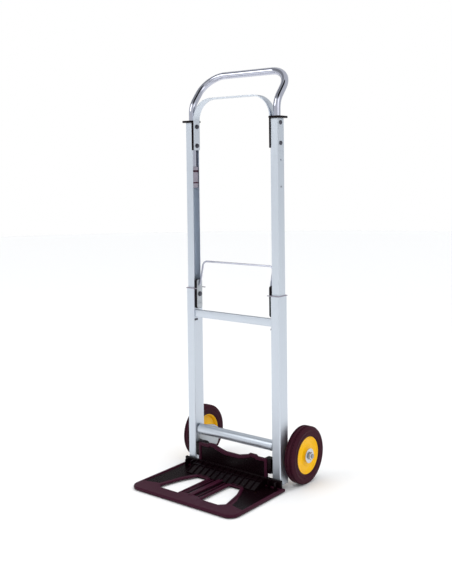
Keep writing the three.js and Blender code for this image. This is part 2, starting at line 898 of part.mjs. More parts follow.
// The hole on the right side of the plate: its outer edge slants, so a brace runs to the corner.
function toeOpening() {
  const innerX = toeSpine / 2;
  const front = -toeDepth + toeOpeningFront;
  const frontX = toeHalf - toeOpeningFrontEdge;
  const rearX = toeHalf - toeOpeningRearEdge;
  return shapeOf([
    [innerX, front],
    [frontX - toeOpeningCut, front],
    [frontX, front + toeOpeningCut],
    [rearX, -toeOpeningRear],
    [innerX + toeOpeningBevel, -toeOpeningRear],
    [innerX, -toeOpeningRear - toeOpeningBevel],
  ]);
}

// The shallow panel between the brace and the side rim.
function toePanel() {
  const front = -toeDepth + toePanelFront;
  const edgeX = toeHalf - toeRim;
  return shapeOf([
    [edgeX - toePanelCorner, front],
    [edgeX, front + toePanelCorner],
    [edgeX, -toePanelRear],
    [edgeX - toePanelReach, -toePanelRear - toePanelCorner / 2],
  ]);
}

function heelOutline() {
  const right = [
    [heelHalf, toeThickness / 2],
    [heelHalf, heelHeight],
    [heelHalf - heelLugOuter + heelLugSlope, heelHeight],
    [heelHalf - heelLugOuter, heelLug],
    [heelHalf - heelLugInner, heelLug],
    [heelHalf - heelLugInner - heelLugSlope, heelHeight],
    [heelHalf - heelDipEdge, heelDip],
  ];
  const left = right.map(([x, z]) => [-x, z]).reverse();
  return shapeOf([...left, ...right].reverse());
}

function buildToePlate() {
  const base = extrudeZ(toeOutline(-lipGap), 0, toeThickness, 6);
  const core = toeThickness / 2;
  const rampRear = heelFront + heelThickness / 2;
  const ramp = extrudeX(shapeOf([
    [-rampFront, core],
    [rampRear, core],
    [rampRear, lipHeight],
    [-rampKnee, lipHeight - rampKneeDrop],
    [-rampFront, toeThickness],
  ]), -heelHalf, heelHalf);
  const heel = extrudeY(heelOutline(), heelFront, heelFront + heelThickness);
  const lipEnd = toeHalf - lipInset;
  const lip = block(-lipEnd, lipEnd, lipFront, -lipGap, core, lipHeight);
  const ears = [-1, 1].map((side) => {
    const a = side * (earOuter - earWidth);
    const b = side * earOuter;
    return block(Math.min(a, b), Math.max(a, b), earFront, earRear, earBottom, heelHeight);
  });
  const body = join([base, ramp, heel, lip, ...ears]);
  const opening = extrudeZ(toeOpening(), -overcut, toeThickness + overcut);
  const panel = extrudeZ(toePanel(), toeThickness - toePocketDepth, toeThickness + overcut);
  const hingeInner = earOuter - earWidth - overcut;
  const hingeHole = hingePinRadius + holeGap;
  const hinge = rod(hingeInner, earOuter + overcut, toeHingeY, toeHingeZ, hingeHole);
  const tools = [opening, panel, hinge];
  add("toe_plate", cut(body, [...tools, ...tools.map(mirrored)]), "black");
}

function buildHingePins() {
  const headFace = earOuter - earWidth - faceGap;
  const headEnd = headFace - hingePinHeadHeight;
  const end = wallInside + hingePinTail;
  const pin = turned([
    [0, headEnd],
    [hingePinHead - hingePinChamfer, headEnd],
    [hingePinHead, headEnd + hingePinChamfer],
    [hingePinHead, headFace],
    [hingePinRadius, headFace],
    [hingePinRadius, end - hingePinChamfer],
    [hingePinRadius - hingePinChamfer, end],
    [0, end],
  ], toeHingeY, toeHingeZ, 16);
  addPair("toe_pivot_pin", pin, "zinc");
}

buildUprights();
buildCrossbars();
buildTopCaps();
buildMidChannels();
buildSliderShoes();
buildHandle();
buildArch();
buildCollars();
buildClampBolts();
buildLevers();
buildBail();
buildAxle();
buildWheels();
buildToePlate();
buildHingePins();

// The origin lies on the floor, midway between the toe plate's front edge and the tyres' backs.
truck.position.y = (toeDepth - axleY - tyreRadius) / 2;

export default truck;
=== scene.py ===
import math

import bmesh
import bpy
from bpy.props import FloatProperty, FloatVectorProperty, IntProperty, PointerProperty
from mathutils import Matrix, Vector


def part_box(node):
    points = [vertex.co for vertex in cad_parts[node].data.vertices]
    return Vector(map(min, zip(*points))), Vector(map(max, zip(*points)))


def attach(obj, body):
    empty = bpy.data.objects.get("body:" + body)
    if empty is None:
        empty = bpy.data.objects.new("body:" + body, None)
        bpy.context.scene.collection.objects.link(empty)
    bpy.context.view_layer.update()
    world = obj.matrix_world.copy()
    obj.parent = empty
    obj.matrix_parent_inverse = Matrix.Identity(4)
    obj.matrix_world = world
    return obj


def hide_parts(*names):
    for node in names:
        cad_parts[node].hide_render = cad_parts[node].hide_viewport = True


bl_info = {
    "name": "Folding hand truck",
    "version": (1, 0, 0),
    "blender": (4, 5, 0),
    "location": "View3D > Sidebar > Hand truck",
    "description": "Makes the visible pieces of a folding two-wheel hand truck on its packed frame",
    "category": "Object",
}

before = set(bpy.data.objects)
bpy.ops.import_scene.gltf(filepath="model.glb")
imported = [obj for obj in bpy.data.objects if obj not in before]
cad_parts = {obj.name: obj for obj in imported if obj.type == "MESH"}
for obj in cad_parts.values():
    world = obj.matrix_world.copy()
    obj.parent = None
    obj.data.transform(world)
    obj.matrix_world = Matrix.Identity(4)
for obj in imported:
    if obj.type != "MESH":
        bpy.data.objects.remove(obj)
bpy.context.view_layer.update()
SIDES = (("right", 1), ("left", -1))
MM = 0.001
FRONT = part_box("upright_right")[0].y
FULL_TURN = 2 * math.pi
QUARTER = math.pi / 2
X_AXIS = Vector((1, 0, 0))
Z_AXIS = Vector((0, 0, 1))
# Degrees past which two faces meet at an edge that is rounded off.
SHARP = 60
# Broken edge of a pressed or cut part.
BURR = 0.5 * MM
# Half the toe plate's width between the side plates, in millimetres.
HEEL_HALF = 114.7


def at(x, y, z):
    """A place in metres from millimetres, with y measured from the front face of the uprights."""
    return Vector((x * MM, y * MM + FRONT, z * MM))


def span(node):
    """A CAD node's lowest and highest corners in the same millimetres that at() reads."""
    low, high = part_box(node)
    shift = Vector((0, FRONT, 0))
    return (low - shift) / MM, (high - shift) / MM


def middle(low, high):
    """How far back and how high the middle of a node's two corners lies."""
    return (low.y + high.y) / 2, (low.z + high.z) / 2


TUBE_LOW, TUBE_HIGH = span("handle_tube")
TYRE_LOW, TYRE_HIGH = span("tyre_right")
AXLE_Y, AXLE_Z = middle(TYRE_LOW, TYRE_HIGH)


def linear(code):
    """A linear colour from an sRGB hex code."""
    parts = [int(code[i:i + 2], 16) / 255 for i in (1, 3, 5)]
    return [c / 12.92 if c <= 0.04045 else ((c + 0.055) / 1.055) ** 2.4 for c in parts]


class TruckSizes(bpy.types.PropertyGroup):
    """Sizes of the visible pieces that the frame leaves free."""
    tube_radius: FloatProperty(
        name="Handle tube radius", description="Outer radius of the bent handle tube",
        default=9.5 * MM, unit="LENGTH", subtype="DISTANCE")
    bail_radius: FloatProperty(
        name="Bail wire radius", description="Radius of the release bail's wire",
        default=2.5 * MM, unit="LENGTH", subtype="DISTANCE")
    tread_depth: FloatProperty(
        name="Tread depth", description="Depth of the grooves in the tyres",
        default=1.6 * MM, unit="LENGTH", subtype="DISTANCE")
    rib_depth: FloatProperty(
        name="Rib depth", description="Depth of the pockets between the toe plate's ribs",
        default=3.0 * MM, unit="LENGTH", subtype="DISTANCE")
    tread_blocks: IntProperty(
        name="Tread blocks", description="Blocks round each shoulder of a tyre", default=60, min=12)


class TruckColours(bpy.types.PropertyGroup):
    """Base colours of the main finishes."""
    aluminium: FloatVectorProperty(
        name="Aluminium", description="Clear anodised aluminium", subtype="COLOR",
        default=linear("#d0d7e0"))
    plastic: FloatVectorProperty(
        name="Black plastic", description="Moulded toe plate and collars", subtype="COLOR",
        default=linear("#351122"))
    rubber: FloatVectorProperty(
        name="Rubber", description="Tyres", subtype="COLOR", default=linear("#36101e"))
    rim: FloatVectorProperty(
        name="Rims", description="Moulded wheel rims", subtype="COLOR", default=linear("#ffc400"))


# Finishes ---------------------------------------------------------------------------------

ALUMINIUM = "extruded_anodised_aluminium_upright"
CROSSBAR = "extruded_anodised_aluminium_crossbar"
STRIP = "rolled_anodised_aluminium_strip"
CHROME = "polished_chrome_plate"
ZINC = "zinc_plated_pressed_steel"
STEEL = "drawn_steel_bar"
DARK = "phosphated_steel_fastener"
BRIGHT = "bright_zinc_plated_fitting"
BLACK = "moulded_black_polypropylene"
NEAR_BLACK_AND_SHADE = "near_black_polypropylene_and_painted_shade"
GREY = "moulded_grey_nylon"
RUBBER = "moulded_tyre_rubber"
YELLOW = "moulded_yellow_polypropylene"
NYLON = "turned_natural_nylon"
PAPER = "matt_studio_paper"
# Typical refractive indices of the plastics, the rubber and the studio's paper.
POLYPROPYLENE_IOR, NYLON_IOR, RUBBER_IOR, PAPER_IOR = 1.49, 1.53, 1.52, 1.45
# The Mix node's two colours, by the place of their sockets.
FIRST_COLOUR, SECOND_COLOUR = 6, 7
FINISHES = {}


def add(tree, kind, settings=None, links=None):
    """Adds a node: settings are its own or its inputs' values, links are its inputs' sources."""
    made = tree.nodes.new(kind)
    for key, value in (settings or {}).items():
        if isinstance(key, int) or key in made.inputs:
            made.inputs[key].default_value = value
        else:
            setattr(made, key, value)
    for key, source in (links or {}).items():
        tree.links.new(source, made.inputs[key])
    return made


def new_finish(name, colour, metallic, roughness, ior=None, specular=0.5):
    """A material with one Principled shader, kept under its name."""
    material = bpy.data.materials.new(name)
    material.use_nodes = True
    shader = material.node_tree.nodes["Principled BSDF"]
    shader.inputs["Base Color"].default_value = (*colour, 1)
    shader.inputs["Metallic"].default_value = metallic
    shader.inputs["Roughness"].default_value = roughness
    shader.inputs["Specular IOR Level"].default_value = specular
    if ior:
        shader.inputs["IOR"].default_value = ior
    FINISHES[name] = material
    return material.node_tree, shader


def vary(tree, shader, pattern, low_colour, high_colour, low_rough, high_rough):
    """Lets a pattern run the colour and the roughness between two values."""
    tint = add(tree, "ShaderNodeMix", {"data_type": "RGBA"}, {0: pattern})
    tint.inputs[FIRST_COLOUR].default_value = (*low_colour, 1)
    tint.inputs[SECOND_COLOUR].default_value = (*high_colour, 1)
    tree.links.new(tint.outputs[2], shader.inputs["Base Color"])
    rough = add(tree, "ShaderNodeMapRange", {"To Min": low_rough, "To Max": high_rough},
                {0: pattern})
    tree.links.new(rough.outputs[0], shader.inputs["Roughness"])


def bump(tree, shader, pattern, height, strength):
    """Raises a pattern by a height in metres."""
    made = add(tree, "ShaderNodeBump", {"Distance": height, "Strength": strength},
               {"Height": pattern})
    tree.links.new(made.outputs[0], shader.inputs["Normal"])


def grain(tree, cell, stretch=(1, 1, 1), detail=4.0, rough=0.55):
    """Noise with cells of a size in millimetres, drawn out along the axes given."""
    place = add(tree, "ShaderNodeTexCoord")
    scale = [1 / (cell * MM * s) for s in stretch]
    moved = add(tree, "ShaderNodeMapping", {"Scale": scale}, {"Vector": place.outputs["Object"]})
    noise = add(tree, "ShaderNodeTexNoise", {"Scale": 1.0, "Detail": detail, "Roughness": rough},
                {"Vector": moved.outputs[0]})
    return noise.outputs["Fac"]


def shade(colour, factor):
    """A linear colour made darker or lighter."""
    return [c * factor for c in colour]


def make_finishes(colours):
    """Makes every finish but the studio's."""
    metal = colours.aluminium
    # Extruded and clear anodised: satin, with faint die lines along the bar.
    for name, stretch in ((ALUMINIUM, (1, 1, 60)), (CROSSBAR, (60, 1, 1))):
        tree, shader = new_finish(name, metal, 1.0, 0.38)
        lines = grain(tree, 1.4, stretch, 3.0)
        vary(tree, shader, lines, shade(metal, 0.93), shade(metal, 1.05), 0.33, 0.47)
        bump(tree, shader, lines, 0.03 * MM, 0.25)
    # Flat bar, rolled and anodised: a little glossier, with faint lines across its width.
    tree, shader = new_finish(STRIP, metal, 1.0, 0.36)
    lines = grain(tree, 1.8, (1, 40, 1), 3.0)
    vary(tree, shader, lines, shade(metal, 0.95), shade(metal, 1.04), 0.3, 0.42)
    # Bright chrome over polished steel tube: hard reflections, with a faint haze.
    chrome = linear("#c3c5d2")
    tree, shader = new_finish(CHROME, chrome, 1.0, 0.06)
    haze = grain(tree, 14.0, (1, 1, 1), 2.0)
    vary(tree, shader, haze, shade(chrome, 0.97), chrome, 0.04, 0.1)
    # Zinc electroplate over pressed steel: grey, slightly mottled.
    zinc = linear("#b4b9be")
    tree, shader = new_finish(ZINC, zinc, 1.0, 0.36)
    mottle = grain(tree, 5.0, (1, 1, 1), 5.0, 0.6)
    vary(tree, shader, mottle, shade(zinc, 0.85), shade(zinc, 1.08), 0.28, 0.46)
    # Bright zinc plate on the turned and stamped axle fittings: glossy and pale.
    bright = linear("#cfd3d8")
    tree, shader = new_finish(BRIGHT, bright, 1.0, 0.16)
    vary(tree, shader, grain(tree, 2.5), shade(bright, 0.85), bright, 0.1, 0.24)
    # Phosphated steel: the dark grey coat of bought-in nuts and bolts.
    coat = linear("#55555d")
    tree, shader = new_finish(DARK, coat, 1.0, 0.4)
    vary(tree, shader, grain(tree, 1.5), shade(coat, 0.8), shade(coat, 1.2), 0.34, 0.5)
    # Bright drawn steel: faint draw lines along the bar and a low sheen.
    steel = linear("#9b9ea3")
    tree, shader = new_finish(STEEL, steel, 1.0, 0.3)
    lines = grain(tree, 0.8, (20, 1, 1), 3.0)
    vary(tree, shader, lines, shade(steel, 0.9), shade(steel, 1.05), 0.24, 0.38)
    # Polypropylene moulded in a spark-eroded tool: fine pebble grain and a low sheen.
    # The grain is drawn at 1.6 mm, coarser than life, so that it shows.
    plastic = colours.plastic
    tree, shader = new_finish(BLACK, plastic, 0.0, 0.38, POLYPROPYLENE_IOR, 0.12)
    shader.inputs["Specular Tint"].default_value = (1.0, 0.72, 0.85, 1)
    pebble = grain(tree, 1.6, (1, 1, 1), 2.0)
    vary(tree, shader, pebble, shade(plastic, 0.8), shade(plastic, 1.25), 0.32, 0.46)
    bump(tree, shader, pebble, 0.08 * MM, 0.35)
    # The same plastic made ten times darker, nearly black, with a lower roughness: painted shade in
    # the toe plate's hollows, sunk panels and sheltered mouldings, and the near-black of the
    # collars and levers.
    black_and_shade = shade(plastic, 0.1)
    tree, shader = new_finish(NEAR_BLACK_AND_SHADE, black_and_shade, 0.0, 0.24, POLYPROPYLENE_IOR, 0.1)
    pebble = grain(tree, 2.4, (1, 1, 1), 2.0)
    vary(tree, shader, pebble, shade(black_and_shade, 0.7), shade(black_and_shade, 1.3), 0.2, 0.34)
    bump(tree, shader, pebble, 0.03 * MM, 0.3)
    # Moulded grey nylon: even, with a dull sheen.
    grey = linear("#8d8794")
    tree, shader = new_finish(GREY, grey, 0.0, 0.45, NYLON_IOR)
    vary(tree, shader, grain(tree, 2.0), shade(grey, 0.9), shade(grey, 1.1), 0.4, 0.52)
    # Moulded rubber: matt, with a faint bloom in broad patches.
    tree, shader = new_finish(RUBBER, colours.rubber, 0.0, 0.58, RUBBER_IOR, 0.1)
    bloom = grain(tree, 9.0, (1, 1, 1), 5.0, 0.6)
    vary(tree, shader, bloom, shade(colours.rubber, 0.8), shade(colours.rubber, 1.3), 0.5, 0.68)
    bump(tree, shader, grain(tree, 0.9), 0.06 * MM, 0.3)
    # Injection-moulded coloured polypropylene: clean, with a soft gloss.
    tree, shader = new_finish(YELLOW, colours.rim, 0.0, 0.36, POLYPROPYLENE_IOR, 0.25)
    cloud = grain(tree, 12.0, (1, 1, 1), 3.0)
    vary(tree, shader, cloud, shade(colours.rim, 0.88), colours.rim, 0.28, 0.4)
    # Natural nylon bush: waxy off-white.
    natural = linear("#d9d4c6")
    tree, shader = new_finish(NYLON, natural, 0.0, 0.48, NYLON_IOR)
    vary(tree, shader, grain(tree, 3.0), shade(natural, 0.94), natural, 0.42, 0.54)


def dress(finish, *nodes):
    """Gives carried-over CAD nodes their finish."""
    for name in nodes:
        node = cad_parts[name]
        node.data.materials.clear()
        node.data.materials.append(FINISHES[finish])


# Shapes -----------------------------------------------------------------------------------


def make(name, bm, finish, body, *nodes, crease=35, shaded_hollows=None):
    """Closes off a shape as a finished piece that rides on a body and stands for CAD nodes."""
    bmesh.ops.remove_doubles(bm, verts=bm.verts, dist=0.002 * MM)
    bmesh.ops.dissolve_degenerate(bm, edges=bm.edges, dist=0.002 * MM)
    bmesh.ops.recalc_face_normals(bm, faces=bm.faces)
    open_edges = [e for e in bm.edges if not e.is_manifold]
    if open_edges:
        raise RuntimeError(f"{name} has {len(open_edges)} open edges")
    mesh = bpy.data.meshes.new(name)
    bm.to_mesh(mesh)
    bm.free()
    for face in mesh.polygons:
        face.use_smooth = True
    mesh.set_sharp_from_angle(angle=math.radians(crease))
    piece = bpy.data.objects.new(name, mesh)
    bpy.context.scene.collection.objects.link(piece)
    mesh.materials.append(FINISHES[finish])
    if shaded_hollows:
        mesh.materials.append(FINISHES[shaded_hollows])
    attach(piece, body)
    if nodes:
        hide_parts(*nodes)
    return piece


def parts_of(made, kind):
    """The vertices, edges or faces in what an operator made."""
    return [g for g in made["geom"] if isinstance(g, kind)]


def draw(bm, loop, offset):
    """Draws a loop of edges straight on and returns the loop that it ends on."""
    made = bmesh.ops.extrude_edge_only(bm, edges=loop)
    verts = parts_of(made, bmesh.types.BMVert)
    bmesh.ops.translate(bm, verts=verts, vec=offset)
    ends = set(verts)
    return [e for e in parts_of(made, bmesh.types.BMEdge) if all(v in ends for v in e.verts)]


def bend(bm, loop, centre, axis, angle, steps):
    """Carries a loop of edges round a bend and returns the loop that it ends on."""
    made = bmesh.ops.spin(bm, geom=loop, cent=centre, axis=axis, dvec=(0, 0, 0), angle=angle,
                          steps=steps, use_merge=False, use_normal_flip=False, use_duplicate=False)
    return [g for g in made["geom_last"] if isinstance(g, bmesh.types.BMEdge)]


def sweep(bm, loop, corners, radii, steps):
    """Carries a loop of edges along straight runs and round bends, as a bar is bent."""
    here = corners[0]
    for i, corner in enumerate(corners[1:-1]):
        before = (corner - corners[i]).normalized()
        after = (corners[i + 2] - corner).normalized()
        angle = before.angle(after)
        reach = radii[i] * math.tan(angle / 2)
        start = corner - before * reach
        loop = draw(bm, loop, start - here)
        axis = before.cross(after).normalized()
        centre = start + axis.cross(before) * radii[i]
        loop = bend(bm, loop, centre, axis, angle, steps)
        here = corner + after * reach
    return draw(bm, loop, corners[-1] - here)


def push_in(bm, face, offset):
    """Moves a face by an offset, with walls left behind it."""
    made = bmesh.ops.extrude_face_region(bm, geom=[face])
    bmesh.ops.translate(bm, verts=parts_of(made, bmesh.types.BMVert), vec=offset)
    if face.is_valid:
        bmesh.ops.delete(bm, geom=[face], context="FACES_ONLY")


def ring(bm, centre, radius, sides, turn=Matrix.Identity(4)):
    """A circle of edges, flat in X and Y unless turned."""
    made = bmesh.ops.create_circle(bm, cap_ends=False, radius=radius, segments=sides,
                                   matrix=Matrix.Translation(centre) @ turn)
    return list({e for v in made["verts"] for e in v.link_edges})


def bar(bm, corners, radii, loop, steps, wall=0.0, depth=0.0):
    """A bent bar from its first loop, closed at both ends; a wall sinks the ends as in a tube."""
    start = list(loop)
    end = sweep(bm, loop, corners, radii, steps)
    bmesh.ops.recalc_face_normals(bm, faces=bm.faces)
    for rim in (start, end):
        made = bmesh.ops.contextual_create(bm, geom=rim)
        bmesh.ops.recalc_face_normals(bm, faces=bm.faces)
        if wall:
            face = made["faces"][0]
            bmesh.ops.inset_region(bm, faces=[face], thickness=wall, depth=0)
            push_in(bm, face, -face.normal * depth)


def lathe(bm, profile, centre, steps=48):
    """Turns an outline of (radius, x) pairs in millimetres round the X axis through centre."""
    verts = [bm.verts.new(centre + Vector((x * MM, 0, r * MM))) for r, x in profile]
    edges = [bm.edges.new(ends) for ends in zip(verts, verts[1:])]
    if profile[0][0] and profile[-1][0]:
        edges.append(bm.edges.new((verts[-1], verts[0])))
    before = set(bm.verts)
    bmesh.ops.spin(bm, geom=verts + edges, cent=centre, axis=X_AXIS, dvec=(0, 0, 0),
                   angle=FULL_TURN, steps=steps, use_merge=True, use_normal_flip=False,
                   use_duplicate=False)
    fresh = [v for v in bm.verts if v not in before] + verts
    bmesh.ops.remove_doubles(bm, verts=[v for v in fresh if v.is_valid], dist=0.001 * MM)


def soft_profile(points, radius, steps=3):
    """Rounds the inner corners of an outline of (radius, x) pairs with small arcs."""
    out = [points[0]]
    for before, here, after in zip(points, points[1:], points[2:]):
        a = Vector(before) - Vector(here)
        b = Vector(after) - Vector(here)
        reach = min(radius, a.length / 2.2, b.length / 2.2)
        start = Vector(here) + a.normalized() * reach
        end = Vector(here) + b.normalized() * reach
        for i in range(steps + 1):
            t = i / steps
            spot = start.lerp(Vector(here), t).lerp(Vector(here).lerp(end, t), t)
            out.append(tuple(spot))
    out.append(points[-1])
    return out


def sleeve(bm, bore, radius, near, far, soften, centre, steps=32):
    """A turned ring between two places along X, with soft rims; lengths in millimetres."""
    outline = [(bore, near), (radius, near), (radius, far), (bore, far)]
    lathe(bm, soft_profile(outline, soften), centre, steps)


def slab(bm, outline, offset):
    """A flat outline drawn out by an offset."""
    first = bm.faces.new([bm.verts.new(p) for p in outline])
    made = bmesh.ops.extrude_face_region(bm, geom=[first], use_keep_orig=True)
    bmesh.ops.translate(bm, verts=parts_of(made, bmesh.types.BMVert), vec=offset)
    bmesh.ops.recalc_face_normals(bm, faces=bm.faces)


def edges_along(bm, axis):
    """Edges that run along an axis."""
    found = []
    for edge in bm.edges:
        run = edge.verts[1].co - edge.verts[0].co
        if run.length and abs(run.normalized().dot(axis)) > 0.999:
            found.append(edge)
    return found


def round_off(bm, edges, size, segments=3):
    """Rounds edges to a radius."""
    bmesh.ops.bevel(bm, geom=list(edges), offset=size, offset_type="OFFSET", segments=segments,
                    profile=0.5, affect="EDGES", clamp_overlap=True, material=-1)


def sharp_edges(bm):
    """Edges whose faces turn by more than the sharp angle."""
    return [e for e in bm.edges if e.is_manifold and e.calc_face_angle() > math.radians(SHARP)]


def block(bm, low, high, size, segments=2):
    """A box between two corners with all its edges rounded."""
    scale = Matrix.Diagonal((*(high - low), 1))
    made = bmesh.ops.create_cube(bm, size=1, matrix=Matrix.Translation((low + high) / 2) @ scale)
    round_off(bm, {e for v in made["verts"] for e in v.link_edges}, size, segments)


def flip(bm):
    """The same shape on the other side of the truck."""
    bmesh.ops.scale(bm, vec=(-1, 1, 1), verts=bm.verts)
    bmesh.ops.reverse_faces(bm, faces=bm.faces)


def pair(name, shape, finish, body, *nodes, crease=35):
    """Makes a piece on the right and its mirror image on the left; {} in a name is the side."""
    for side, sign in SIDES:
        bm = bmesh.new()
        shape(bm)
        if sign < 0:
            flip(bm)
        make(f"{name}_{side}", bm, finish, body.format(side),
             *[n.format(side) for n in nodes], crease=crease)


# Operators --------------------------------------------------------------------------------


# The studio: lengths in metres, angles in degrees, powers in watts.
FLOOR_RADIUS = 9.0
WORLD_STRENGTH = 0.74
WORLD_COLOUR = (0.96, 0.98, 1.0, 1)
# Its dark parts: direction, inner and outer angle, and brightness.
# They put the dark streaks on the chrome.
DARK_PATCHES = (((0.30, -0.32, 0.90), 20, 26, 0.03), ((-0.62, 0.76, 0.22), 10, 14, 0.1),
                ((0.45, -0.85, -0.12), 9, 12, 0.05), ((-0.62, -0.35, 0.70), 24, 34, 0.45))
# Its square lamps: name, place, side and power. Both point at the frame's middle.
LAMPS = (("key", (-1.6, -2.6, 2.6), 1.8, 26), ("fill", (2.8, -0.6, 1.9), 1.6, 9))
LAMP_AIM = (0, 0.05, 0.5)
# The sky lamp lights the floor and stays out of reflections.
SKY_STRENGTH, SKY_SPREAD = 1.75, 100
# The camera: place in the millimetres that at() reads, angles in degrees, lens in millimetres.
CAMERA_PLACE = (1369.1, -1742.9, 827.4)
CAMERA_AZIMUTH, CAMERA_RISE, CAMERA_ROLL = 38.4, -2.5, -0.7
CAMERA_LENS, CAMERA_SHIFT, CAMERA_REACH = 51.67, -0.1473, 60


class TRUCK_OT_stage(bpy.types.Operator):
    """Sets the floor, the lights, the world and the camera"""
    bl_idname = "truck.stage"
    bl_label = "Stage"

    def execute(self, context):
        scene = context.scene
        scene.view_settings.view_transform = "Standard"
        bm = bmesh.new()
        bmesh.ops.create_circle(bm, cap_ends=True, radius=FLOOR_RADIUS, segments=96)
        mesh = bpy.data.meshes.new("floor")
        bm.to_mesh(mesh)
        bm.free()
        floor = bpy.data.objects.new("floor", mesh)
        scene.collection.objects.link(floor)
        white = linear("#f4f4f4")
        tree, shader = new_finish(PAPER, white, 0.0, 0.9, PAPER_IOR, 0.2)
        fibre = grain(tree, 6.0, (1, 1, 1), 2.0)
        vary(tree, shader, fibre, shade(white, 0.985), white, 0.86, 0.94)
        mesh.materials.append(FINISHES[PAPER])

        world = bpy.data.worlds.new("studio")
        scene.world = world
        world.use_nodes = True
        tree = world.node_tree
        tree.nodes.clear()
        way = add(tree, "ShaderNodeTexCoord")
        level = None
        for spot, inner, outer, dark in DARK_PATCHES:
            aim = add(tree, "ShaderNodeVectorMath",
                      {"operation": "DOT_PRODUCT", 1: Vector(spot).normalized()},
                      {0: way.outputs["Generated"]})
            fade = add(tree, "ShaderNodeMapRange", {
                "interpolation_type": "SMOOTHSTEP", 1: math.cos(math.radians(outer)),
                2: math.cos(math.radians(inner)), 3: 1.0, 4: dark}, {0: aim.outputs["Value"]})
            if level is None:
                level = fade.outputs[0]
            else:
                level = add(tree, "ShaderNodeMath", {"operation": "MULTIPLY"},
                            {0: level, 1: fade.outputs[0]}).outputs[0]
        calm = add(tree, "ShaderNodeMix", {"data_type": "RGBA"}, {0: level})
        calm.inputs[FIRST_COLOUR].default_value = (0.0, 0.0, 0.0, 1)
        calm.inputs[SECOND_COLOUR].default_value = WORLD_COLOUR
        lit = add(tree, "ShaderNodeBackground", {"Strength": WORLD_STRENGTH}, {0: calm.outputs[2]})
        # The camera sees plain white; the truck is lit by the world with the dark parts.
        plain = add(tree, "ShaderNodeBackground", {"Color": (1, 1, 1, 1), "Strength": 1.0})
        path = add(tree, "ShaderNodeLightPath")
        both = add(tree, "ShaderNodeMixShader", None, {
            0: path.outputs["Is Camera Ray"], 1: lit.outputs[0], 2: plain.outputs[0]})
        add(tree, "ShaderNodeOutputWorld", None, {0: both.outputs[0]})

        for name, spot, size, power in LAMPS:
            lamp = bpy.data.lights.new(name, "AREA")
            lamp.shape, lamp.size, lamp.energy = "SQUARE", size, power
            holder = bpy.data.objects.new(name, lamp)
            holder.location = spot
            aim = Vector(LAMP_AIM) - Vector(spot)
            holder.rotation_euler = aim.to_track_quat("-Z", "Y").to_euler()
            scene.collection.objects.link(holder)

        sun = bpy.data.lights.new("sky", "SUN")
        sun.energy = SKY_STRENGTH
        sun.angle = math.radians(SKY_SPREAD)
        holder = bpy.data.objects.new("sky", sun)
        holder.visible_glossy = False
        scene.collection.objects.link(holder)

        lens = bpy.data.cameras.new("camera")
        lens.sensor_width = 36.0
        lens.lens = CAMERA_LENS
        lens.shift_y = CAMERA_SHIFT
        lens.clip_end = CAMERA_REACH
        eye = bpy.data.objects.new("camera", lens)
        angles = (CAMERA_AZIMUTH, CAMERA_RISE, CAMERA_ROLL)
        azimuth, rise, roll = (math.radians(a) for a in angles)
        ahead = Vector((-math.sin(azimuth) * math.cos(rise), math.cos(azimuth) * math.cos(rise),
                        math.sin(rise)))
        right = Vector((math.cos(azimuth), math.sin(azimuth), 0))
        up = right.cross(ahead)
        facing = Matrix((right, up, -ahead)).transposed().to_4x4()
        place = Matrix.Translation(at(*CAMERA_PLACE))
        eye.matrix_world = place @ facing @ Matrix.Rotation(roll, 4, "Z")
        scene.collection.objects.link(eye)
        scene.camera = eye
        return {"FINISHED"}


class TRUCK_OT_lower_frame(bpy.types.Operator):
    """Finishes the uprights and their caps and makes the crossbars with their rivets"""
    bl_idname = "truck.lower_frame"
    bl_label = "Lower frame"
    # Wall of both crossbars and how far the flat one's ends are sunk, in millimetres.
    wall, opening = 1.8, 12

    def execute(self, context):
        dress(ALUMINIUM, "upright_right", "upright_left")
        dress(GREY, "top_cap_right", "top_cap_left")

        low, high = span("upper_crossbar")
        bm = bmesh.new()
        outline = [at(low.x, low.y, low.z), at(low.x, high.y, low.z),
                   at(low.x, high.y, high.z), at(low.x, low.y, high.z)]
        slab(bm, outline, X_AXIS * (high.x - low.x) * MM)
        round_off(bm, edges_along(bm, X_AXIS), 2.2 * MM, 4)
        self.hollow(bm)
        make("crossbar_upper", bm, CROSSBAR, "frame", "upper_crossbar")

        low, high = span("lower_crossbar")
        radius = (high.z - low.z) / 2
        bm = bmesh.new()
        centre = at(0, *middle(low, high))
        sleeve(bm, radius - self.wall, radius, low.x, high.x, 0.3, centre, 48)
        make("crossbar_lower", bm, CROSSBAR, "frame", "lower_crossbar")

        rivet = [(0, 126.4), (1.6, 126.5), (2.6, 127.2), (3.0, 128.2), (3.0, 129.4), (0, 129.4)]

        def bracket_rivets(bm):
            for y in (4.5, 11.5):
                lathe(bm, rivet, at(0, y, 414.5), 16)
        pair("bracket_rivets", bracket_rivets, DARK, "frame")
        return {"FINISHED"}

    def hollow(self, bm):
        """Opens the ends of the flat crossbar to a short depth."""
        ends = [f for f in bm.faces if abs(f.normal.x) > 0.99 and len(f.verts) > 6]
        for face in ends:
            bmesh.ops.inset_region(bm, faces=[face], thickness=self.wall * MM, depth=0)
            push_in(bm, face, -face.normal * self.opening * MM)


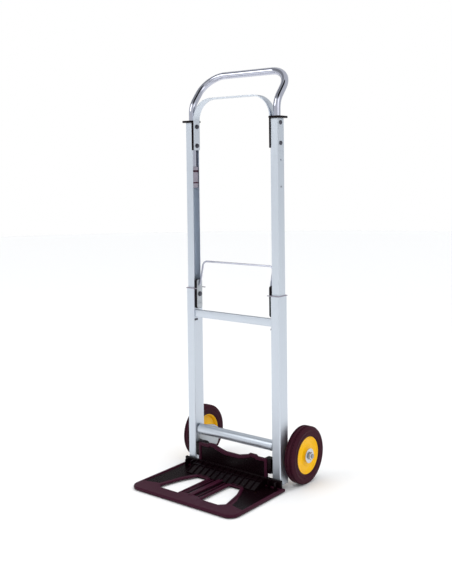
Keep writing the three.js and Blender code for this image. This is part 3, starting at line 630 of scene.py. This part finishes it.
class TRUCK_OT_middle_stage(bpy.types.Operator):
    """Finishes the sliding channels and their shoes and makes the plugs in them"""
    bl_idname = "truck.middle_stage"
    bl_label = "Middle stage"

    def execute(self, context):
        dress(ALUMINIUM, "mid_channel_right", "mid_channel_left")
        dress(BLACK, "slider_shoe_right", "slider_shoe_left")
        low, high = span("tube_plug_right")

        def stacked(bm, foot, top, inset, size, segments):
            """A block inside the plug's outline, inset all round."""
            block(bm, at(low.x + inset, low.y + inset, foot),
                  at(high.x - inset, high.y - inset, top), size * MM, segments)

        def plug(bm):
            stacked(bm, low.z, high.z - 14, 0.6, 2.2, 3)
            stacked(bm, high.z - 10, high.z, 0.2, 2.2, 3)
        pair("plug_body", plug, GREY, "mid_frame", "tube_plug_{}")

        def seal(bm):
            for foot in (low.z + 12, high.z - 14):
                stacked(bm, foot, foot + 4, 0.3, 0.8, 2)
        pair("plug_seal", seal, BLACK, "mid_frame", "tube_plug_{}")
        return {"FINISHED"}


class TRUCK_OT_handle(bpy.types.Operator):
    """Bends the chrome handle tube"""
    bl_idname = "truck.handle"
    bl_label = "Handle"
    # Lean of the part above the knee in degrees and its length; the knee's height; the bends
    # at the knee and at the grip; the tube's wall and how far its ends are sunk.
    lean, length, knee = 38.9, 109.0, 1001.5
    knee_bend, grip_bend = 57, 62.5
    wall, opening = 1.2, 15

    def execute(self, context):
        radius = context.scene.truck_sizes.tube_radius
        x = TUBE_HIGH.x - radius / MM
        y = TUBE_LOW.y + radius / MM
        top_y = y + self.length * math.sin(math.radians(self.lean))
        top_z = self.knee + self.length * math.cos(math.radians(self.lean))
        corners = [at(-x, y, TUBE_LOW.z), at(-x, y, self.knee), at(-x, top_y, top_z),
                   at(x, top_y, top_z), at(x, y, self.knee), at(x, y, TUBE_LOW.z)]
        bends = [r * MM for r in (self.knee_bend, self.grip_bend, self.grip_bend, self.knee_bend)]
        bm = bmesh.new()
        loop = ring(bm, corners[0], radius, 32)
        bar(bm, corners, bends, loop, 14, self.wall * MM, self.opening * MM)
        make("handle_loop", bm, CHROME, "mid_frame", "handle_tube")
        return {"FINISHED"}


class TRUCK_OT_arch(bpy.types.Operator):
    """Bends the flat arch strip under the handle"""
    bl_idname = "truck.arch"
    bl_label = "Arch"
    # Thickness of the strip, its rounded edges and the outside of its bends.
    thick, edge, bend = 3.0, 0.9, 59

    def execute(self, context):
        low, high = span("arch_strip")
        half_thick = self.thick / 2
        x = high.x - half_thick
        y = (low.y + high.y) / 2
        top = high.z - half_thick
        corners = [at(-x, y, low.z), at(-x, y, top), at(x, y, top), at(x, y, low.z)]
        bm = bmesh.new()
        half_w = (high.y - low.y) / 2 * MM
        half_t = half_thick * MM
        spots = [(-half_t, -half_w), (half_t, -half_w), (half_t, half_w), (-half_t, half_w)]
        bm.faces.new([bm.verts.new(corners[0] + Vector((a, b, 0))) for a, b in spots])
        bmesh.ops.bevel(bm, geom=list(bm.verts), offset=self.edge * MM, offset_type="OFFSET",
                        segments=3, profile=0.5, affect="VERTICES", clamp_overlap=True, material=-1)
        loop = list(bm.edges)
        bmesh.ops.delete(bm, geom=list(bm.faces), context="FACES_ONLY")
        radius = (self.bend - half_thick) * MM
        bar(bm, corners, [radius, radius], loop, 16)
        make("arch_band", bm, STRIP, "mid_frame", "arch_strip")
        return {"FINISHED"}


class TRUCK_OT_collars(bpy.types.Operator):
    """Moulds the two collars between the handle and the arch"""
    bl_idname = "truck.collars"
    bl_label = "Collars"
    # The two legs of a collar: how far each stands out, and its front and its back.
    legs = ((0, 6.6, 30.9), (1.6, 2.4, 5.7))
    # Thickness of a leg, and the radius and height of the raised ring round the tube.
    leg, ring_radius, ring_height = 2.5, 12.2, 1.4

    def execute(self, context):
        low, high = span("collar_right")
        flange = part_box("mid_channel_right")[1].z / MM + 0.3
        tube = context.scene.truck_sizes.tube_radius / MM

        def collar(bm):
            block(bm, at(low.x, low.y, flange), at(high.x, high.y, high.z), 1.2 * MM, 3)
            for out, front, back in self.legs:
                block(bm, at(low.x - out, front, low.z), at(low.x + self.leg, back, flange + 3),
                      0.8 * MM, 2)
            centre = at(TUBE_HIGH.x - tube, TUBE_LOW.y + tube, high.z - 1)
            loop = ring(bm, centre, self.ring_radius * MM, 32)
            ring_fill(bm, loop, draw(bm, loop, Z_AXIS * self.ring_height * MM))
        pair("collar_moulding", collar, NEAR_BLACK_AND_SHADE, "mid_frame", "collar_{}")
        return {"FINISHED"}


def ring_fill(bm, first, last):
    """Closes both ends of a short drawn ring and softens its upper rim."""
    for loop in (first, last):
        bmesh.ops.contextual_create(bm, geom=loop)
    round_off(bm, last, 0.8 * MM, 2)


def dome_head(inner, outer, radius, shank, end):
    """Outline of a bolt with a domed head, as (radius, x) pairs from the head's face inwards."""
    step = outer - inner
    return [(0, outer), (radius * 0.45, outer - 0.06 * step), (radius * 0.8, outer - 0.32 * step),
            (radius, inner + 0.35 * step), (radius, inner), (shank, inner), (shank, end), (0, end)]


def hex_nut(bm, x0, x1, y, z, across, turn=0.0):
    """A hexagon nut or bolt head along X with its rims softened."""
    corner = across / math.sqrt(3)
    facing = Matrix.Rotation(QUARTER, 4, "Y") @ Matrix.Rotation(turn, 4, "Z")
    made = bmesh.ops.create_circle(bm, cap_ends=True, radius=corner * MM, segments=6,
                                   matrix=Matrix.Translation(at(x0, y, z)) @ facing)
    face = made["verts"][0].link_faces[0]
    grown = bmesh.ops.extrude_face_region(bm, geom=[face], use_keep_orig=True)
    drawn = parts_of(grown, bmesh.types.BMVert)
    bmesh.ops.translate(bm, verts=drawn, vec=X_AXIS * (x1 - x0) * MM)
    verts = set(made["verts"]) | set(drawn)
    fresh = [f for f in bm.faces if all(v in verts for v in f.verts)]
    bmesh.ops.recalc_face_normals(bm, faces=fresh)
    ends = [f for f in fresh if abs(f.normal.x) > 0.9]
    round_off(bm, {e for f in ends for e in f.edges}, 0.09 * across * MM, 2)


class TRUCK_OT_clamps(bpy.types.Operator):
    """Makes the bolts and nuts that clamp the handle, collars and arch"""
    bl_idname = "truck.clamps"
    bl_label = "Clamp bolts"
    # Radii of a bolt's head and shank, the nut across its flats, its washer's bore, radius
    # and thickness.
    head, shank, across = 5.5, 3.0, 10
    washer_bore, washer_radius, washer_thick = 3.2, 6.6, 0.3

    def execute(self, context):
        for level in ("upper", "lower"):
            low, high = span(f"clamp_bolt_{level}_right")
            nut_low, nut_high = span(f"clamp_nut_{level}_right")
            y, z = middle(low, high)
            seat = span("mid_channel_right")[1].x + 0.2

            def bolt(bm):
                outline = dome_head(seat, high.x, self.head, self.shank, low.x)
                lathe(bm, outline, at(0, y, z), 32)
            pair(f"clamp_bolt_{level}_head", bolt, DARK, "mid_frame", f"clamp_bolt_{level}_{{}}")

            def nut(bm):
                hex_nut(bm, nut_low.x, nut_high.x, y, z, self.across)
                sleeve(bm, self.washer_bore, self.washer_radius, nut_high.x,
                       nut_high.x + self.washer_thick, 0.1, at(0, y, z))
            pair(f"clamp_nut_{level}_hex", nut, DARK, "mid_frame", f"clamp_nut_{level}_{{}}",
                 crease=25)
        return {"FINISHED"}


class TRUCK_OT_release(bpy.types.Operator):
    """Makes the release bail, its levers and their pivots, and finishes the lock pins"""
    bl_idname = "truck.release"
    bl_label = "Release bail"
    # Where the bail's legs rise, and its bends at the feet and at the top.
    leg_x, foot_bend, top_bend = 118.0, 4, 12
    # The levers: thickness of the pressed plate, how much smaller it is, and both corners.
    plate, trim, body_corner, plate_corner = 1.4, 1.1, 6, 5
    # The pivot bolt: hexagon across flats, washer's thickness, bore and radius, and shank.
    across, washer, washer_bore, washer_radius, shank = 10.5, 0.8, 2.0, 6.9, 3

    def execute(self, context):
        radius = context.scene.truck_sizes.bail_radius
        low, high = span("bail_wire")
        foot_x, leg_x = high.x, self.leg_x
        foot_y, foot_z = low.y + radius / MM, low.z + radius / MM
        top_y, top_z = high.y - radius / MM, high.z - radius / MM
        corners = [at(-foot_x, foot_y, foot_z), at(-leg_x, foot_y, foot_z),
                   at(-leg_x, top_y, top_z), at(leg_x, top_y, top_z),
                   at(leg_x, foot_y, foot_z), at(foot_x, foot_y, foot_z)]
        bends = [r * MM for r in (self.foot_bend, self.top_bend, self.top_bend, self.foot_bend)]
        bm = bmesh.new()
        loop = ring(bm, corners[0], radius, 16, Matrix.Rotation(QUARTER, 4, "Y"))
        bar(bm, corners, bends, loop, 8)
        make("bail_loop", bm, CHROME, "release_bail", "bail_wire")

        low, high = span("lock_lever_right")
        step = low.x + self.plate

        def rounded(bm, near, far, trim, corner):
            """A plate across X in the lever's outline, trimmed all round."""
            outline = [at(near, low.y + trim, low.z + trim), at(near, high.y - trim, low.z + trim),
                       at(near, high.y - trim, high.z - trim),
                       at(near, low.y + trim, high.z - trim)]
            slab(bm, outline, X_AXIS * (far - near) * MM)
            round_off(bm, edges_along(bm, X_AXIS), corner * MM, 5)
            round_off(bm, sharp_edges(bm), BURR, 2)
        pair("lever_body", lambda bm: rounded(bm, step, high.x, 0, self.body_corner), NEAR_BLACK_AND_SHADE,
             "release_bail", "lock_lever_{}")
        pair("lever_plate", lambda bm: rounded(bm, low.x, step, self.trim, self.plate_corner), ZINC,
             "release_bail", "lock_lever_{}")

        bolt_low, bolt_high = span("lever_bolt_right")
        y, z = middle(bolt_low, bolt_high)
        centre = at(0, y, z)
        seat = low.x - 0.2

        def bolt(bm):
            hex_nut(bm, bolt_low.x, seat - self.washer, y, z, self.across)
            sleeve(bm, self.washer_bore, self.washer_radius, seat - self.washer, seat, 0.2, centre)
            lathe(bm, [(0, seat), (self.shank, seat), (self.shank, bolt_high.x), (0, bolt_high.x)],
                  centre, 24)
        pair("lever_pivot", bolt, DARK, "frame", "lever_bolt_{}", crease=25)

        def ribs(bm):
            for level, reach in ((low.z + 14, 8.5), (low.z + 19, 5.0)):
                block(bm, at(low.x - 0.9, y - reach, level - 0.8),
                      at(low.x + 0.6, y + reach, level + 0.8), 0.4 * MM, 2)
        pair("lever_rib", ribs, ZINC, "release_bail")
        dress(STEEL, "lock_pin_right", "lock_pin_left")
        return {"FINISHED"}


class TRUCK_OT_axle(bpy.types.Operator):
    """Makes the side plates, their rivets, and the axle with its sleeves, washers and nuts"""
    bl_idname = "truck.axle"
    bl_label = "Axle"
    # Outline of a side plate, front to back and low to high, and its corners.
    plate_outline = [(6, 44), (90, 44), (98, 60), (98, 90), (76, 104), (38, 113), (6, 117)]
    plate_corner = 5
    # Radii of the axle and its chamfered ends, the holes on it, the sleeves and the washers.
    radius, end_radius, chamfer = 6, 4.8, 1.2
    hole, sleeve_radius, washer_radius = 6.3, 9.8, 19
    # The nut across its flats and how far it is turned, in radians.
    across, turn = 18, 0.3

    def execute(self, context):
        low, high = span("axle_plate_right")

        def plate(bm):
            outline = [at(high.x, y, z) for y, z in self.plate_outline]
            slab(bm, outline, X_AXIS * (low.x - high.x) * MM)
            round_off(bm, edges_along(bm, X_AXIS), self.plate_corner * MM, 4)
            round_off(bm, sharp_edges(bm), BURR, 2)
        pair("axle_plate_pressing", plate, ZINC, "frame", "axle_plate_{}")

        for place in ("front", "rear"):
            rivet_low, rivet_high = span(f"plate_rivet_{place}_right")
            near, seat, far = rivet_low.x, low.x, rivet_high.x
            outline = [(0, near), (1.6, near + 0.2), (2.9, near + 0.9), (3.4, seat - 0.1),
                       (2.4, seat), (2.4, far), (0, far)]
            spot = at(0, *middle(rivet_low, rivet_high))

            def rivet(bm):
                lathe(bm, outline, spot, 24)
            pair(f"rivet_{place}", rivet, ZINC, "frame", f"plate_rivet_{place}_{{}}")

        centre = at(0, AXLE_Y, AXLE_Z)
        low, high = span("axle")
        bm = bmesh.new()
        lathe(bm, [(0, low.x), (self.end_radius, low.x), (self.radius, low.x + self.chamfer),
                   (self.radius, high.x - self.chamfer), (self.end_radius, high.x), (0, high.x)],
              centre, 40)
        make("axle_bar", bm, STEEL, "frame", "axle")

        for node, name, radius, steps, finish in (
                ("axle_spacer", "axle_sleeve", self.sleeve_radius, 32, ZINC),
                ("axle_washer", "axle_washer_disc", self.washer_radius, 48, BRIGHT)):
            low, high = span(f"{node}_right")

            def turned(bm):
                sleeve(bm, self.hole, radius, low.x, high.x, 0.5, centre, steps)
            pair(name, turned, finish, "frame", f"{node}_{{}}")

        nut_low, nut_high = span("axle_nut_right")

        def nut(bm):
            hex_nut(bm, nut_low.x, nut_high.x, AXLE_Y, AXLE_Z, self.across, self.turn)
        pair("axle_nut_hex", nut, BRIGHT, "frame", "axle_nut_{}", crease=25)
        dress(NYLON, "wheel_bush_right", "wheel_bush_left")
        return {"FINISHED"}


class TRUCK_OT_wheels(bpy.types.Operator):
    """Moulds the tyres and the rims"""
    bl_idname = "truck.wheels"
    bl_label = "Wheels"

    def execute(self, context):
        sizes = context.scene.truck_sizes
        middle_x = (TYRE_LOW.x + TYRE_HIGH.x) / 2
        edge = (TYRE_HIGH.x - TYRE_LOW.x) / 2
        outer = (TYRE_HIGH.z - TYRE_LOW.z) / 2
        centre = at(0, AXLE_Y, AXLE_Z)
        groove = sizes.tread_depth / MM

        # Half of the tyre's outline, from the bead to the groove beside the middle rib. The
        # shoulder blocks lie between the groove and the tyre's side.
        shoulder, groove_out, groove_in = 5.4, 6.2, 3.0
        side = [(48.8, edge - 3.0), (52.5, edge - 1.6), (54.0, edge - 0.9), (55.6, edge - 0.9),
                (56.2, edge - 0.1), (58.4, edge - 0.1), (59.0, edge - 0.6), (64.4, edge - 0.3),
                (65.0, edge), (66.4, edge), (67.0, edge - 0.9), (71.6, edge - 1.6),
                (outer - 1.4, edge - 3.2), (outer - 0.2, edge - shoulder)]
        crown = [(outer, groove_out), (outer - groove, groove_out - 0.4),
                 (outer - groove, groove_in + 0.4), (outer, groove_in)]
        half = side + crown
        profile = [(r, middle_x + x) for r, x in half]
        profile += [(r, middle_x - x) for r, x in reversed(half)]
        steps = sizes.tread_blocks * 2

        def tyre(bm):
            lathe(bm, profile, centre, steps)
            bmesh.ops.recalc_face_normals(bm, faces=bm.faces)
            gaps = []
            for face in bm.faces:
                spot = face.calc_center_median() - centre
                radius = math.hypot(spot.y, spot.z) / MM
                off = abs(spot.x / MM - middle_x)
                turn = math.atan2(spot.z, spot.y) % FULL_TURN
                on_tread = groove_out < off < edge - shoulder + 0.1 and radius > outer - 1.2
                if on_tread and int(turn / FULL_TURN * steps) % 2 == 0:
                    gaps.append(face)
            bmesh.ops.inset_individual(bm, faces=gaps, thickness=0.5 * MM, depth=-sizes.tread_depth)
        pair("tyre_moulding", tyre, RUBBER, "wheel_{}", "tyre_{}", crease=40)

        # The rim's outline: out along its inner face, over the tyre's seat and in along the outer.
        rim_profile = [
            (9.6, -edge), (15.2, -edge), (16, -edge + 1), (18.5, -5.5), (21, -4.2), (38, -3.2),
            (42, -3.6), (44.4, -9.6), (46.0, -edge + 3.2), (48.0, -edge + 2.6),
            (48.6, -edge + 3.4), (48.6, edge - 3.4), (48.0, edge - 2.6), (46.2, edge - 3.2),
            (44.4, edge - 6.4), (41.4, edge - 7.0), (38.6, edge - 8.6), (27.5, edge - 8.2),
            (24.5, edge - 6.2), (20, edge - 5.6), (17, edge - 4.6), (15.6, edge - 0.8),
            (14.8, edge), (9.6, edge)]

        def rim(bm):
            outline = soft_profile([(r, middle_x + x) for r, x in rim_profile], 0.9, 2)
            lathe(bm, outline, centre, 72)
        pair("rim_moulding", rim, YELLOW, "wheel_{}", "rim_{}", crease=40)
        return {"FINISHED"}


class TRUCK_OT_toe_plate(bpy.types.Operator):
    """Moulds the toe plate: deck, ramp, heel, lip and ears"""
    bl_idname = "truck.toe_plate"
    bl_label = "Toe plate"
    # Deck, in millimetres: its height, the web's underside, its back, its front corners and the
    # rounding of its rim and foot.
    top, web_foot, rear = 10.0, 5, -0.6
    corner, rim_round, foot_round = 28, 3.2, 6
    # Border round the sunk panels and the slope inside it; wall and depth of the pockets below.
    border, slope = 8, 2.4
    pocket_wall, pocket_depth = 2.2, 4
    # Bays in the ramp.
    bays = 12

    def execute(self, context):
        low, high = span("toe_plate")
        depth = context.scene.truck_sizes.rib_depth
        self.deck(high.x, low.y, depth)
        self.ramp(depth)
        self.heel(high.z)
        self.hinges()
        return {"FINISHED"}

    def deck(self, half, front, depth):
        """The flat frame with its two slanted openings, sunk panels and rounded rim."""
        rear, top = self.rear, self.top
        bm = bmesh.new()
        # Corners of the right half's panels; each panel below is named by its corners.
        spots = {
            "a": (0, front), "b": (14, front), "c": (37, front), "d": (95, front),
            "e": (121, front), "f": (half, front), "g": (0, -181), "h": (14, -181),
            "i": (37, -181), "j": (95, -181), "k": (108, -168), "K": (92, -104),
            "l": (150, -180), "L": (half, -180), "n": (0, -65), "o": (14, -65), "p": (37, -65),
            "q": (42, -60), "r": (72, -60), "s": (88, -56), "t": (150, -50), "u": (half, -50),
            "v": (0, rear), "w": (42, rear), "x": (72, rear), "y": (88, rear), "z": (150, rear),
            "A": (half, rear), "B": (14, rear)}
        verts = {key: bm.verts.new(at(x, y, top)) for key, (x, y) in spots.items()}
        for name in ("abhg", "bcih", "cdji", "dekj", "efLlk", "lLut", "kltsrK",
                     "ghon", "hipo", "noBv", "opqwB", "qrxw", "rsyx", "stzy", "tuAz"):
            bm.faces.new([verts[key] for key in name])
        bmesh.ops.mirror(bm, geom=list(bm.verts) + list(bm.edges) + list(bm.faces),
                         matrix=Matrix.Identity(4), merge_dist=0.01 * MM, axis="X")
        bmesh.ops.remove_doubles(bm, verts=bm.verts, dist=0.01 * MM)
        bmesh.ops.recalc_face_normals(bm, faces=bm.faces)
        if sum(f.normal.z for f in bm.faces) < 0:
            bmesh.ops.reverse_faces(bm, faces=bm.faces)
        grown = bmesh.ops.extrude_face_region(bm, geom=list(bm.faces), use_keep_orig=True)
        bmesh.ops.translate(bm, verts=parts_of(grown, bmesh.types.BMVert), vec=(0, 0, -top * MM))
        bmesh.ops.recalc_face_normals(bm, faces=bm.faces)
        fore = at(0, front + 1, 0).y
        corners = [e for e in edges_along(bm, Z_AXIS)
                   if abs(abs(e.verts[0].co.x / MM) - half) < 0.1 and e.verts[0].co.y < fore]
        round_off(bm, corners, self.corner * MM, 10)
        # The web thins towards the openings.
        hole = [spots[key] for key in "ijkKrqp"]
        for vert in bm.verts:
            spot = (vert.co - Vector((0, FRONT, 0))) / MM
            if spot.z < 1 and any(math.hypot(abs(spot.x) - x, spot.y - y) < 0.1 for x, y in hole):
                vert.co.z = self.web_foot * MM
        # The panels sunk inside the rim and the openings' edges.
        panel = [f for f in bm.faces if f.normal.z > 0.9
                 and (f.calc_center_median().y - FRONT) / MM > -190]
        bmesh.ops.inset_region(bm, faces=panel, thickness=self.border * MM, depth=0)
        bmesh.ops.inset_region(bm, faces=panel, thickness=self.slope * MM, depth=-depth)
        # The sunk panels take the near-black finish: painted shade in the hollows.
        for face in panel:
            face.material_index = 1
        # Ribs and pockets under the deck.
        under = [f for f in bm.faces if f.normal.z < -0.9 and f.calc_area() > 200 * MM * MM]
        bmesh.ops.inset_individual(bm, faces=under, thickness=self.pocket_wall * MM,
                                   depth=-self.pocket_depth * MM)
        rims = [e for e in sharp_edges(bm) if all(v.co.z > (top - 0.1) * MM for v in e.verts)]
        round_off(bm, rims, self.rim_round * MM, 4)
        # The foot is rounded along the front and the two sides.
        side = (half - self.corner - 1) * MM
        foot = [e for e in sharp_edges(bm)
                if all(v.co.z < 0.1 * MM and (abs(v.co.x) > side or v.co.y < fore)
                       for v in e.verts)]
        round_off(bm, foot, self.foot_round * MM, 4)
        make("toe_deck", bm, BLACK, "toe_plate", "toe_plate", crease=40, shaded_hollows=NEAR_BLACK_AND_SHADE)

        bm = bmesh.new()
        # The spine and the two ribs beside it: place, half width and height over the deck.
        for x, w, h in ((0, 7.0, 0.9), (-20, 1.6, -1.2), (20, 1.6, -1.2)):
            block(bm, at(x - w, -178, top - 5), at(x + w, -50, top + h), 0.9 * MM, 3)
        make("toe_ribs", bm, BLACK, "toe_plate", "toe_plate", crease=40)

    def ramp(self, depth):
        """The ribbed slope between the deck and the heel."""
        bm = bmesh.new()
        outline = [(-59, 2), (-3, 2), (-3, 29), (-26, 24), (-59, 10.2)]
        verts = [bm.verts.new(at(-HEEL_HALF, y, z)) for y, z in outline]
        first = [bm.edges.new((a, b)) for a, b in zip(verts, verts[1:] + verts[:1])]
        last = first
        for _ in range(self.bays):
            last = draw(bm, last, X_AXIS * 2 * HEEL_HALF / self.bays * MM)
        for loop in (first, last):
            bmesh.ops.contextual_create(bm, geom=loop)
        bmesh.ops.recalc_face_normals(bm, faces=bm.faces)
        slopes = [f for f in bm.faces if 0.4 < f.normal.z < 0.999]
        bmesh.ops.inset_individual(bm, faces=slopes, thickness=1.6 * MM, depth=0)
        bmesh.ops.inset_individual(bm, faces=slopes, thickness=1.2 * MM, depth=-depth)
        # The ramp is in the near-black finish: painted shade between the deck and the heel.
        make("toe_ramp", bm, NEAR_BLACK_AND_SHADE, "toe_plate", "toe_plate", crease=30)

    def heel(self, crest):
        """The upright panel with its two lugs, and the ribbed lip in front of the uprights."""
        bm = bmesh.new()
        right = [(HEEL_HALF, 5), (HEEL_HALF, 76), (83.7, 76), (78.7, crest), (58.7, crest),
                 (53.7, 76), (22.7, 68)]
        outline = [at(x, -6, z) for x, z in right] + [at(-x, -6, z) for x, z in reversed(right)]
        slab(bm, outline, Vector((0, 10 * MM, 0)))
        round_off(bm, sharp_edges(bm), 2.2 * MM, 3)
        face = max((f for f in bm.faces if f.normal.y < -0.9), key=lambda f: f.calc_area())
        bmesh.ops.inset_region(bm, faces=[face], thickness=6 * MM, depth=0)
        bmesh.ops.inset_region(bm, faces=[face], thickness=2.5 * MM, depth=-3.5 * MM)
        # The recess takes the near-black finish: painted shade inside the rim.
        face.material_index = 1
        make("toe_heel", bm, BLACK, "toe_plate", "toe_plate", crease=40, shaded_hollows=NEAR_BLACK_AND_SHADE)

        bm = bmesh.new()
        block(bm, at(-162, -8, 5), at(162, -0.6, 29), 1.6 * MM, 3)
        for x in range(-150, 151, 20):
            if abs(x) > 118:
                block(bm, at(x - 1.2, -22, 6), at(x + 1.2, -4, 25), 0.6 * MM, 2)
        # The lip is in the near-black finish: painted shade under the heel.
        make("toe_lip", bm, NEAR_BLACK_AND_SHADE, "toe_plate", "toe_plate", crease=40)

    def hinges(self):
        """The ears that the plate folds on, and their pins."""
        def ear(bm):
            sides = ((-2, 37), (33, 37), (33, 66), (22, 76), (-2, 76))
            slab(bm, [at(104.7, y, z) for y, z in sides], X_AXIS * 21 * MM)
            round_off(bm, edges_along(bm, X_AXIS), 4 * MM, 3)
            round_off(bm, sharp_edges(bm), 0.9 * MM, 2)
        # The ears are in the near-black finish: painted shade beside the uprights.
        pair("toe_ear", ear, NEAR_BLACK_AND_SHADE, "toe_plate", "toe_plate")

        low, high = span("toe_pivot_pin_right")

        def pin(bm):
            outline = [(0, low.x), (6.4, low.x + 0.2), (7.6, low.x + 1.0), (8, low.x + 2.0),
                       (8, low.x + 3.0), (5, low.x + 3.0), (5, high.x - 1), (4, high.x),
                       (0, high.x)]
            lathe(bm, outline, at(0, *middle(low, high)), 32)
        pair("toe_hinge_pin", pin, ZINC, "frame", "toe_pivot_pin_{}")


OPERATORS = (TRUCK_OT_stage, TRUCK_OT_lower_frame, TRUCK_OT_middle_stage, TRUCK_OT_handle,
             TRUCK_OT_arch, TRUCK_OT_collars, TRUCK_OT_clamps, TRUCK_OT_release, TRUCK_OT_axle,
             TRUCK_OT_wheels, TRUCK_OT_toe_plate)


class TRUCK_PT_panel(bpy.types.Panel):
    """Lists the hand truck's sizes, colours and pieces"""
    bl_label = "Hand truck"
    bl_idname = "TRUCK_PT_panel"
    bl_space_type = "VIEW_3D"
    bl_region_type = "UI"
    bl_category = "Hand truck"

    def draw(self, context):
        for group in (context.scene.truck_sizes, context.scene.truck_colours):
            for name in group.__annotations__:
                self.layout.prop(group, name)
        for operator in OPERATORS:
            self.layout.operator(operator.bl_idname)


CLASSES = (TruckSizes, TruckColours, *OPERATORS, TRUCK_PT_panel)


def register():
    for item in CLASSES:
        bpy.utils.register_class(item)
    bpy.types.Scene.truck_sizes = PointerProperty(type=TruckSizes)
    bpy.types.Scene.truck_colours = PointerProperty(type=TruckColours)


def unregister():
    del bpy.types.Scene.truck_colours
    del bpy.types.Scene.truck_sizes
    for item in reversed(CLASSES):
        bpy.utils.unregister_class(item)


def main():
    register()
    make_finishes(bpy.context.scene.truck_colours)
    for operator in OPERATORS:
        group, name = operator.bl_idname.split(".")
        getattr(getattr(bpy.ops, group), name)()


if __name__ == "__main__":
    main()
